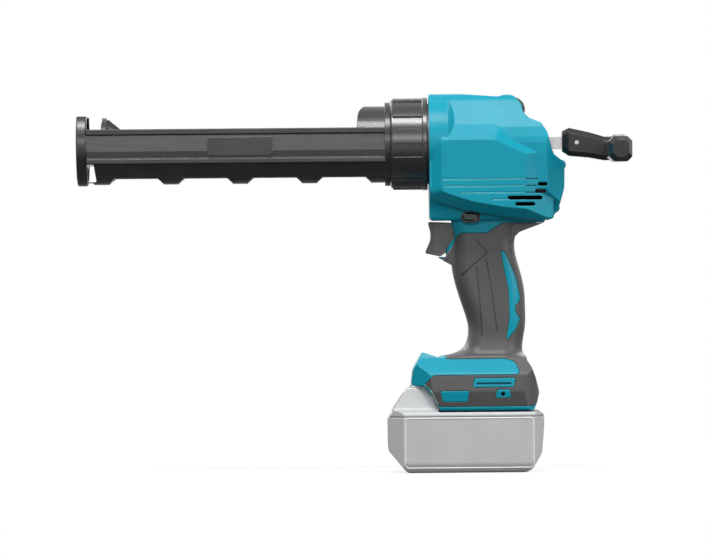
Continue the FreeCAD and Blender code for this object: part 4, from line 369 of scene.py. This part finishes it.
# Shrunk vinyl sleeve of the cells.
CELL_SLEEVE = Finish("Shrunk vinyl sleeve", "#2F6E8E", "#275E7A", "#7DAFC5", (0.22, 0.36), ior=1.53,
                     grain_mm=1.5, grain_depth_mm=0.02, edge_mm=0.4)
# Plain dark engineering plastic of the inner frames and blocks.
DARK_POLYAMIDE = Finish("Dark inner polyamide", "#3B3D3F", "#303234", "#67696B", (0.42, 0.58),
                        grain_mm=0.6, edge_mm=0.3)


def dress(finish: Finish, *nodes: str) -> None:
    """Give CAD nodes their finish.

    Args:
        finish: the finish to give.
        nodes: names of the CAD nodes.
    """
    for name in nodes:
        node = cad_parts[name]
        node.data.materials.clear()
        node.data.materials.append(finish.material())
        log.info("dressed %s in %s", name, finish.name)


def place_piece(mesh: bpy.types.Mesh, name: str, body: str, slot: str, *nodes: str) -> bpy.types.Object:
    """Make a mesh a piece that rides on a body.

    Args:
        mesh: finished mesh in the row frame.
        name: name of the piece.
        body: CAD body that carries it.
        slot: material slot of the record; not used.
        nodes: CAD nodes that it stands for.

    Returns:
        The piece.
    """
    mesh.name = name
    piece = bpy.data.objects.new(name, mesh)
    bpy.context.scene.collection.objects.link(piece)
    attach(piece, body)
    if nodes:
        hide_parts(*nodes)
    log.info("built %s on %s", name, body)
    return piece


class Socket(Enum):
    """Kind of an input of a geometry tree."""

    LENGTH = "NodeSocketFloat"
    COUNT = "NodeSocketInt"
    PLACE = "NodeSocketVector"
    TURN = "NodeSocketRotation"
    SHAPE = "NodeSocketGeometry"
    FINISH = "NodeSocketMaterial"


@dataclass
class GeometryTree:
    """A geometry node tree with named inputs that ends in one plain mesh."""

    name: str
    sockets: dict[str, Socket]
    tree: bpy.types.NodeTree = field(init=False)
    given: bpy.types.Node = field(init=False)

    def __post_init__(self) -> None:
        """Make the tree and its named inputs."""
        self.tree = bpy.data.node_groups.new(self.name, "GeometryNodeTree")
        for label, kind in self.sockets.items():
            self.tree.interface.new_socket(label, in_out="INPUT", socket_type=kind.value)
        self.tree.interface.new_socket("Geometry", in_out="OUTPUT", socket_type="NodeSocketGeometry")
        self.given = self.tree.nodes.new("NodeGroupInput")

    def add(self, kind: str, settings: dict | None = None, inputs: dict | None = None) -> bpy.types.Node:
        """Add one node to this tree."""
        return add_node(self.tree, kind, settings, inputs)

    def close(self, shape: bpy.types.NodeSocket) -> None:
        """End the tree in realised, finished geometry.

        Args:
            shape: geometry to hand out.
        """
        real = self.add("GeometryNodeRealizeInstances", None, {0: shape}).outputs[0]
        smooth = self.add("GeometryNodeSetShadeSmooth", None, {0: real}).outputs[0]
        dressed = self.add("GeometryNodeSetMaterial", None,
                           {0: smooth, "Material": self.given.outputs["Finish"]}).outputs[0]
        self.add("NodeGroupOutput", None, {0: dressed})

    def mesh(self, paths: tuple[list[Vector], ...] = (), closed: bool = False,
             **values: object) -> bpy.types.Mesh:
        """Evaluate the tree once.

        Args:
            paths: corner points of each path that goes in, for a tree that follows paths.
            closed: whether each path runs back to its first point.
            values: value of each named input, with spaces in the names written as underscores.

        Returns:
            The plain mesh.
        """
        points, edges = [], []
        for path in paths:
            numbers = range(len(points), len(points) + len(path))
            edges += zip(numbers, numbers[1:])
            edges += [(numbers[-1], numbers[0])] if closed else []
            points += path
        lines = bpy.data.meshes.new(self.name)
        lines.from_pydata(points, edges, [])
        holder = bpy.data.objects.new(self.name, lines)
        bpy.context.scene.collection.objects.link(holder)
        modifier = holder.modifiers.new(self.name, "NODES")
        modifier.node_group = self.tree
        for item in self.tree.interface.items_tree:
            key = item.name.replace(" ", "_").lower()
            if item.in_out == "INPUT" and key in values:
                modifier[item.identifier] = values[key]
        ready = holder.evaluated_get(bpy.context.evaluated_depsgraph_get())
        plain = bpy.data.meshes.new_from_object(ready)
        holder.modifiers.remove(modifier)
        bpy.data.objects.remove(holder)
        return plain


def spring_tree() -> GeometryTree:
    """Build the tree of a wound compression spring.

    Returns:
        A tree that winds round wire along a turned axis.
    """
    made = GeometryTree("wound_spring", {
        "Coil radius": Socket.LENGTH, "Wire radius": Socket.LENGTH, "Turns": Socket.LENGTH,
        "Length": Socket.LENGTH, "Start": Socket.PLACE, "Turn": Socket.TURN, "Finish": Socket.FINISH})
    given = made.given.outputs
    coil = made.add("GeometryNodeCurveSpiral", None, {
        "Resolution": COIL_STEPS, "Rotations": given["Turns"], "Start Radius": given["Coil radius"],
        "End Radius": given["Coil radius"], "Height": given["Length"]}).outputs[0]
    wire = made.add("GeometryNodeCurvePrimitiveCircle", None,
                    {"Resolution": WIRE_SIDES, "Radius": given["Wire radius"]}).outputs[0]
    swept = made.add("GeometryNodeCurveToMesh", None,
                     {"Curve": coil, "Profile Curve": wire, "Fill Caps": True}).outputs[0]
    set_down = made.add("GeometryNodeTransform", None, {
        0: swept, "Translation": given["Start"], "Rotation": given["Turn"]}).outputs[0]
    made.close(set_down)
    return made


def rib_tree() -> GeometryTree:
    """Build the tree of a row of round ended ribs.

    Returns:
        A tree that repeats one rib along a line.
    """
    made = GeometryTree("rib_row", {
        "Count": Socket.COUNT, "Start": Socket.PLACE, "Pitch": Socket.PLACE, "Rib from": Socket.PLACE,
        "Rib to": Socket.PLACE, "Rib radius": Socket.LENGTH, "Finish": Socket.FINISH})
    given = made.given.outputs
    row = made.add("GeometryNodeMeshLine", None, {
        "Count": given["Count"], "Start Location": given["Start"], "Offset": given["Pitch"]}).outputs[0]
    spine = made.add("GeometryNodeCurvePrimitiveLine", None,
                     {"Start": given["Rib from"], "End": given["Rib to"]}).outputs[0]
    spine = made.add("GeometryNodeResampleCurve", None, {"Curve": spine, "Count": RIB_STEPS}).outputs[0]
    # The radius stays full along the rib and drops to two fifths at its ends.
    share = made.add("GeometryNodeSplineParameter").outputs["Factor"]
    middle = maths(made.tree, "MULTIPLY_ADD", share, 2.0, -1.0)
    sixth = maths(made.tree, "POWER", maths(made.tree, "ABSOLUTE", middle), 6.0)
    slim = maths(made.tree, "MULTIPLY_ADD", sixth, -0.6, 1.0)
    spine = made.add("GeometryNodeSetCurveRadius", None, {"Curve": spine, "Radius": slim}).outputs[0]
    round_section = made.add("GeometryNodeCurvePrimitiveCircle", None,
                             {"Resolution": RIB_SIDES, "Radius": given["Rib radius"]}).outputs[0]
    rib = made.add("GeometryNodeCurveToMesh", None,
                   {"Curve": spine, "Profile Curve": round_section, "Fill Caps": True}).outputs[0]
    ribs = made.add("GeometryNodeInstanceOnPoints", None, {"Points": row, "Instance": rib}).outputs[0]
    made.close(ribs)
    return made


def bead_tree() -> GeometryTree:
    """Build the tree of a round bead that follows paths.

    Returns:
        A tree that rounds the corners of its paths and sweeps the bead along them.
    """
    made = GeometryTree("bead_path", {
        "Path": Socket.SHAPE, "Corner": Socket.LENGTH, "Bead radius": Socket.LENGTH, "Finish": Socket.FINISH})
    given = made.given.outputs
    line = made.add("GeometryNodeMeshToCurve", None, {0: given["Path"]}).outputs[0]
    bent = made.add("GeometryNodeFilletCurve", {"mode": "POLY"},
                    {"Curve": line, "Radius": given["Corner"], "Count": CORNER_STEPS}).outputs[0]
    section = made.add("GeometryNodeCurvePrimitiveCircle", None,
                       {"Resolution": BEAD_SIDES, "Radius": given["Bead radius"]}).outputs[0]
    swept = made.add("GeometryNodeCurveToMesh", None,
                     {"Curve": bent, "Profile Curve": section, "Fill Caps": True}).outputs[0]
    made.close(swept)
    return made


def wound_along_x(springs: GeometryTree, node: str, wire_mm: float, turns: float) -> bpy.types.Mesh:
    """Wind a spring along X that fills the box of its CAD node.

    Args:
        springs: tree of a wound spring.
        node: CAD node of the spring.
        wire_mm: radius of the wire in millimetres.
        turns: number of turns.

    Returns:
        The spring's mesh.
    """
    low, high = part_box(node)
    middle = (low + high) / 2
    wire = wire_mm * MM
    return springs.mesh(
        coil_radius=(high.z - low.z) / 2 - wire, wire_radius=wire, turns=turns,
        length=high.x - low.x - 2 * wire, start=(low.x + wire, middle.y, middle.z),
        turn=Euler((0, math.pi / 2, 0)), finish=SPRING_STEEL.material())


def framed(low: Vector, high: Vector, depth: float) -> list[Vector]:
    """Give the corners of an upright rectangle.

    Args:
        low: lower corner in side view, in metres.
        high: upper corner in side view, in metres.
        depth: distance of its plane from the middle plane.

    Returns:
        The four corners in order.
    """
    return [Vector((low.x, depth, low.z)), Vector((high.x, depth, low.z)),
            Vector((high.x, depth, high.z)), Vector((low.x, depth, high.z))]


@dataclass
class Casing:
    """Two casing halves, their elastomer covers and the screws, with sizes in millimetres.

    A bead is its front end, its rear end and its height.
    """

    beads: tuple[tuple[float, float, float], ...] = (
        (-15.7, 44.9, 215.8), (-15.0, 44.9, 210.7), (-2.6, 44.9, 205.8), (20.6, 33.0, 200.7))
    bead_radius: float = 0.42
    bead_sink: float = 0.02
    panel_half: float = 38.0

    def dress(self) -> None:
        """Give the casing nodes their finishes."""
        dress(TEAL_NYLON, "housing_left", "housing_right")
        dress(GRIP_ELASTOMER, "grip_cover_left", "grip_cover_right")
        dress(PLATED_STEEL, "housing_screws")
        dress(HOLDER_NYLON, "rod_guide_front", "rod_guide_rear")

    def build(self, beads: GeometryTree) -> None:
        """Lay the moulded beads in the grooves of the side panels.

        Args:
            beads: tree of a bead that follows paths.
        """
        for side in Side:
            depth = side.value * (self.panel_half - self.bead_radius - self.bead_sink)
            runs = tuple([Vector((front, depth, height)) * MM, Vector((rear, depth, height)) * MM]
                         for front, rear, height in self.beads)
            # The beads are painted pale as a highlight along the steps of the panels.
            mesh = beads.mesh(paths=runs, corner=0.0, bead_radius=self.bead_radius * MM,
                              finish=PAINTED_HIGHLIGHT_NYLON.material())
            place_piece(mesh, f"panel_beads_{side.label}", "tool", "casing")


@dataclass
class CartridgeHead:
    """Cartridge holder and the collar that clamps it."""

    def dress(self) -> None:
        """Give the head its finishes."""
        dress(HOLDER_NYLON, "cartridge_holder")
        dress(COLLAR_ACETAL, "lock_collar")


@dataclass
class PistonRod:
    """Rack rod with the piston in front and the pull handle behind."""

    def dress(self) -> None:
        """Give the rod nodes their finishes."""
        dress(PLATED_STEEL, "rack_rod", "piston_bolt", "piston_washer", "handle_pin")
        dress(HOLDER_NYLON, "piston_disc")
        dress(HANDLE_POLYPROPYLENE, "pull_handle")


@dataclass
class DriveTrain:
    """Gears, shafts, bearings and the motor inside the casing, with sizes in millimetres."""

    coil_radius: float = 6.0
    wire_radius: float = 0.5
    turns: float = 3.0

    def dress(self) -> None:
        """Give the inner nodes their finishes."""
        dress(CAST_ALUMINIUM, "gear_case")
        dress(GEAR_STEEL, "shaft_bearings", "bevel_bearing", "pinion_shaft", "clutch_plate", "final_gear",
              "cross_shaft", "bevel_wheel", "bevel_pinion", "support_roller", "roller_pin", "planet_gear_1",
              "planet_gear_2", "planet_gear_3", "planet_carrier", "sun_pinion", "ring_gear", "motor_armature")
        dress(BLACK_OXIDE_STEEL, "motor_can")
        dress(DARK_POLYAMIDE, "motor_end_cap", "motor_fan")
        dress(TURNED_BRASS, "motor_bushes", "motor_commutator")
        dress(SINTERED_FERRITE, "motor_magnets", "motor_brushes")

    def build(self, springs: GeometryTree) -> None:
        """Wind the clutch spring.

        Args:
            springs: tree of a wound spring.
        """
        low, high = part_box("clutch_spring")
        middle = (low + high) / 2
        wire = self.wire_radius * MM
        mesh = springs.mesh(
            coil_radius=self.coil_radius * MM, wire_radius=wire, turns=self.turns,
            length=high.y - low.y - 2 * wire, start=(middle.x, high.y - wire, middle.z),
            turn=Euler((math.pi / 2, 0, 0)), finish=SPRING_STEEL.material())
        place_piece(mesh, "clutch_spring_wound", "tool", "steel", "clutch_spring")


@dataclass
class Controls:
    """Trigger, lock button, speed dial and the electrics behind them, with sizes in millimetres."""

    spring_turns: float = 5.0
    spring_wire: float = 0.4
    travel: float = 6.0
    rim_radius: float = 0.8
    rim_gap: float = 0.25
    rim_depth: float = 21.4
    rim_round: float = 0.49

    def dress(self) -> None:
        """Give the controls their finishes."""
        dress(TRIGGER_ABS, "trigger")
        dress(BUTTON_ACETAL, "lock_button")
        dress(COLLAR_ACETAL, "speed_dial")
        dress(DARK_POLYAMIDE, "switch_body", "speed_control", "control_module", "terminal_block")
        dress(TURNED_BRASS, "terminal_blades")

    def build(self, springs: GeometryTree, beads: GeometryTree) -> None:
        """Wind the trigger's return spring and set the rims of the lock button.

        Args:
            springs: tree of a wound spring.
            beads: tree of a bead that follows paths.
        """
        self.wind_spring(springs)
        self.set_rims(beads)

    def wind_spring(self, springs: GeometryTree) -> None:
        """Wind the return spring, which shortens as the trigger is pulled.

        Args:
            springs: tree of a wound spring.
        """
        mesh = wound_along_x(springs, "trigger_spring", self.spring_wire, self.spring_turns)
        spring = place_piece(mesh, "trigger_spring_wound", "tool", "steel", "trigger_spring")
        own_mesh(spring)

    def set_rims(self, beads: GeometryTree) -> None:
        """Set a rim round each end of the lock button.

        Args:
            beads: tree of a bead that follows paths.
        """
        low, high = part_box("lock_button")
        room = Vector((1, 0, 1)) * (self.rim_gap + self.rim_radius) * MM
        low, high = low - room, high + room
        for side in Side:
            mesh = beads.mesh(
                paths=(framed(low, high, side.value * self.rim_depth * MM),), closed=True,
                corner=(high.z - low.z) * self.rim_round, bead_radius=self.rim_radius * MM,
                finish=DARK_POLYAMIDE.material())
            place_piece(mesh, f"lock_rim_{side.label}", "tool", "dark_plastic")


@dataclass
class BatteryPack:
    """Removable pack with its release button, with sizes in millimetres.

    A point of the border or the shoulder is its place along X, off the middle plane and in height.
    """

    press: tuple[float, float, float] = (0.83859, 0.0, -0.54476)
    travel: float = 3.5
    spring_turns: float = 4.0
    spring_wire: float = 0.35
    rib_count: int = 5
    rib_pitch: float = 2.2
    rib_half: float = 8.5
    rib_radius: float = 0.55
    rib_sink: float = 0.1
    border: tuple[tuple[float, float, float], ...] = (
        (-45.0, 36.2, 3.6), (49.5, 36.2, 3.6), (49.5, 37.1, 8.0), (49.5, 37.1, 40.1), (-45.0, 37.1, 40.1),
        (-45.0, 37.1, 8.0))
    border_corner: float = 3.0
    border_radius: float = 0.75
    shoulder: tuple[tuple[float, float, float], ...] = (
        (-19.9, 29.0, 46.0), (-23.7, 27.6, 55.2), (-31.3, 26.4, 63.4), (-40.5, 26.2, 63.4))
    shoulder_corner: float = 4.5
    shoulder_radius: float = 0.75

    def dress(self) -> None:
        """Give the pack its finishes."""
        dress(PACK_ABS, "battery_case_lower", "battery_case_upper", "battery_button")
        dress(PLATED_STEEL, "battery_screws")
        dress(CELL_SLEEVE, "battery_cells")
        dress(EPOXY_BOARD, "battery_board")
        dress(TURNED_BRASS, "battery_contacts")

    def build(self, springs: GeometryTree, ribs: GeometryTree, beads: GeometryTree) -> None:
        """Put beads on the case, wind the button's spring and put ribs on the button.

        Args:
            springs: tree of a wound spring.
            ribs: tree of a row of ribs.
            beads: tree of a bead that follows paths.
        """
        for side in Side:
            self.lay_beads(beads, side)
        self.wind_spring(springs)
        self.set_ribs(ribs)

    def lay_beads(self, beads: GeometryTree, side: Side) -> None:
        """Lay the border and the shoulder bead on one side of the case.

        Args:
            beads: tree of a bead that follows paths.
            side: side of the case.
        """
        # The border and shoulder beads are painted nearly white as a highlight along the pack's edges.
        outline = [Vector((x, side.value * depth, z)) * MM for x, depth, z in self.border]
        mesh = beads.mesh(paths=(outline,), closed=True, corner=self.border_corner * MM,
                          bead_radius=self.border_radius * MM, finish=PAINTED_HIGHLIGHT_ABS.material())
        place_piece(mesh, f"pack_border_{side.label}", "battery", "pale_plastic")
        outline = [Vector((x, side.value * depth, z)) * MM for x, depth, z in self.shoulder]
        mesh = beads.mesh(paths=(outline,), corner=self.shoulder_corner * MM,
                          bead_radius=self.shoulder_radius * MM, finish=PAINTED_HIGHLIGHT_ABS.material())
        place_piece(mesh, f"pack_shoulder_bead_{side.label}", "battery", "pale_plastic")

    def wind_spring(self, springs: GeometryTree) -> None:
        """Wind the spring that goes with the button and shortens against the case.

        Args:
            springs: tree of a wound spring.
        """
        mesh = wound_along_x(springs, "battery_button_spring", self.spring_wire, self.spring_turns)
        spring = place_piece(mesh, "button_spring_wound", "release", "steel", "battery_button_spring")
        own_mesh(spring)

    def set_ribs(self, ribs: GeometryTree) -> None:
        """Set a row of ribs on the button's slanted face.

        Args:
            ribs: tree of a row of ribs.
        """
        outward = -Vector(self.press)
        upward = Vector((outward.z, 0, -outward.x)).normalized()
        sink = self.rib_sink * MM
        points = [v.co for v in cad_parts["battery_button"].data.vertices]
        face = max(p.dot(outward) for p in points)
        top = [p for p in points if p.dot(outward) > face - sink]
        centre = sum((p.dot(upward) for p in top)) / len(top)
        pitch = upward * self.rib_pitch * MM
        start = outward * (face - sink) + upward * centre - pitch * (self.rib_count - 1) / 2
        half = self.rib_half * MM
        mesh = ribs.mesh(count=self.rib_count, start=start, pitch=pitch, rib_from=(0, -half, 0),
                         rib_to=(0, half, 0), rib_radius=self.rib_radius * MM, finish=PACK_ABS.material())
        place_piece(mesh, "release_button_ribs", "release", "pale_plastic")


@dataclass(frozen=True)
class Lamp:
    """A soft box: its middle, its width and height in metres, and its watts."""

    name: str
    place: tuple[float, float, float]
    size: tuple[float, float]
    power: float

    def hang(self, aim: tuple[float, float, float]) -> None:
        """Hang the soft box.

        Args:
            aim: point that it faces.
        """
        data = bpy.data.lights.new(self.name, "AREA")
        data.shape = "RECTANGLE"
        data.size, data.size_y = self.size
        data.energy = self.power
        lamp = bpy.data.objects.new(self.name, data)
        lamp.location = self.place
        lamp.rotation_euler = (Vector(aim) - Vector(self.place)).to_track_quat("-Z", "Y").to_euler()
        bpy.context.scene.collection.objects.link(lamp)


@dataclass
class Studio:
    """Plain white studio with soft lights and the photograph's camera, with sizes in metres."""

    eye: tuple[float, float, float] = (-0.081, -4.0, 0.1425)
    roll: float = 0.00873
    view_width: float = 0.527
    sensor: float = 36.0
    ambient: float = 0.10
    floor_size: float = 12.0
    floor_fade: tuple[float, float] = (0.45, 0.95)
    floor_glow: float = 0.84
    floor_tone: str = "#707070"
    floor_drop: float = 0.0004
    aim: tuple[float, float, float] = (-0.08, 0.0, 0.18)
    lamps: tuple[Lamp, ...] = (
        Lamp("key", (-0.3, -0.9, 2.05), (1.5, 0.5), 50.0),
        Lamp("front", (-0.3, -2.4, 0.9), (1.6, 0.5), 14.0),
        Lamp("right", (1.7, -1.2, 0.8), (0.7, 1.2), 18.0),
        Lamp("back_left", (-1.2, 1.6, 1.2), (1.0, 1.0), 20.0),
        Lamp("back_right", (1.2, 1.6, 1.2), (1.0, 1.0), 20.0))

    def camera(self) -> None:
        """Set the camera where the photograph was taken from."""
        data = bpy.data.cameras.new("camera")
        data.sensor_width = self.sensor
        data.lens = self.sensor * -self.eye[1] / self.view_width
        camera = bpy.data.objects.new("camera", data)
        camera.location = self.eye
        camera.rotation_euler = (math.pi / 2, self.roll, 0)
        bpy.context.scene.collection.objects.link(camera)
        bpy.context.scene.camera = camera

    def seen(self, tree: bpy.types.NodeTree) -> bpy.types.NodeSocket:
        """Tell the rays that show the background from those that only light the object.

        Args:
            tree: node tree of the world or the floor.

        Returns:
            One for rays of the camera, of reflections and through clear matter, else nothing.
        """
        path = add_node(tree, "ShaderNodeLightPath").outputs
        through = maths(tree, "MAXIMUM", path["Is Camera Ray"], path["Is Transmission Ray"])
        return maths(tree, "MAXIMUM", through, path["Is Glossy Ray"])

    def world(self) -> None:
        """Make the surroundings white to the eye and to reflections, and a dim even light otherwise."""
        world = bpy.data.worlds.new("white studio")
        bpy.context.scene.world = world
        world.use_nodes = True
        tree = world.node_tree
        tree.nodes.clear()
        strength = remap(tree, self.seen(tree), (0.0, 1.0), (self.ambient, 1.0))
        light = add_node(tree, "ShaderNodeBackground", None, {"Color": WHITE, "Strength": strength})
        add_node(tree, "ShaderNodeOutputWorld", None, {"Surface": light.outputs[0]})

    def floor(self) -> None:
        """Lay a white floor that keeps the object's shadow."""
        mesh = bpy.data.meshes.new("floor")
        shape = bmesh.new()
        bmesh.ops.create_grid(shape, x_segments=2, y_segments=2, size=self.floor_size)
        shape.to_mesh(mesh)
        shape.free()
        floor = bpy.data.objects.new("floor", mesh)
        floor.location.z = -self.floor_drop
        bpy.context.scene.collection.objects.link(floor)
        paper = bpy.data.materials.new("White backdrop paper")
        paper.use_nodes = True
        tree = paper.node_tree
        tree.nodes.clear()
        place = add_node(tree, "ShaderNodeTexCoord").outputs["Object"]
        away = add_node(tree, "ShaderNodeVectorMath", {"operation": "LENGTH"}, {0: place}).outputs["Value"]
        far = remap(tree, away, self.floor_fade, curve="SMOOTHSTEP")
        matt = add_node(tree, "ShaderNodeBsdfDiffuse", None, {"Color": linear(self.floor_tone)}).outputs[0]
        eye = add_node(tree, "ShaderNodeLightPath").outputs["Is Camera Ray"]
        own = maths(tree, "MULTIPLY", eye, self.floor_glow)
        glow = add_node(tree, "ShaderNodeEmission", None, {"Color": WHITE, "Strength": own}).outputs[0]
        white = add_node(tree, "ShaderNodeEmission", None, {"Color": WHITE, "Strength": 1.0}).outputs[0]
        near = add_node(tree, "ShaderNodeAddShader", None, {0: matt, 1: glow}).outputs[0]
        shown = add_node(tree, "ShaderNodeMixShader", None, {0: far, 1: near, 2: white}).outputs[0]
        both = add_node(tree, "ShaderNodeMixShader", None,
                        {0: self.seen(tree), 1: matt, 2: shown}).outputs[0]
        add_node(tree, "ShaderNodeOutputMaterial", None, {"Surface": both})
        mesh.materials.append(paper)

    def build(self) -> None:
        """Set up the whole studio."""
        bpy.context.scene.view_settings.view_transform = "Standard"
        self.camera()
        self.world()
        self.floor()
        for lamp in self.lamps:
            lamp.hang(self.aim)


def main() -> None:
    """Build the sub-assemblies in order."""
    logging.basicConfig(level=logging.INFO, format="%(message)s")
    springs = spring_tree()
    ribs = rib_tree()
    beads = bead_tree()
    Studio().build()
    casing = Casing()
    casing.dress()
    casing.build(beads)
    CartridgeHead().dress()
    PistonRod().dress()
    drive = DriveTrain()
    drive.dress()
    drive.build(springs)
    controls = Controls()
    controls.dress()
    controls.build(springs, beads)
    pack = BatteryPack()
    pack.dress()
    pack.build(springs, ribs, beads)


if __name__ == "__main__":
    main()
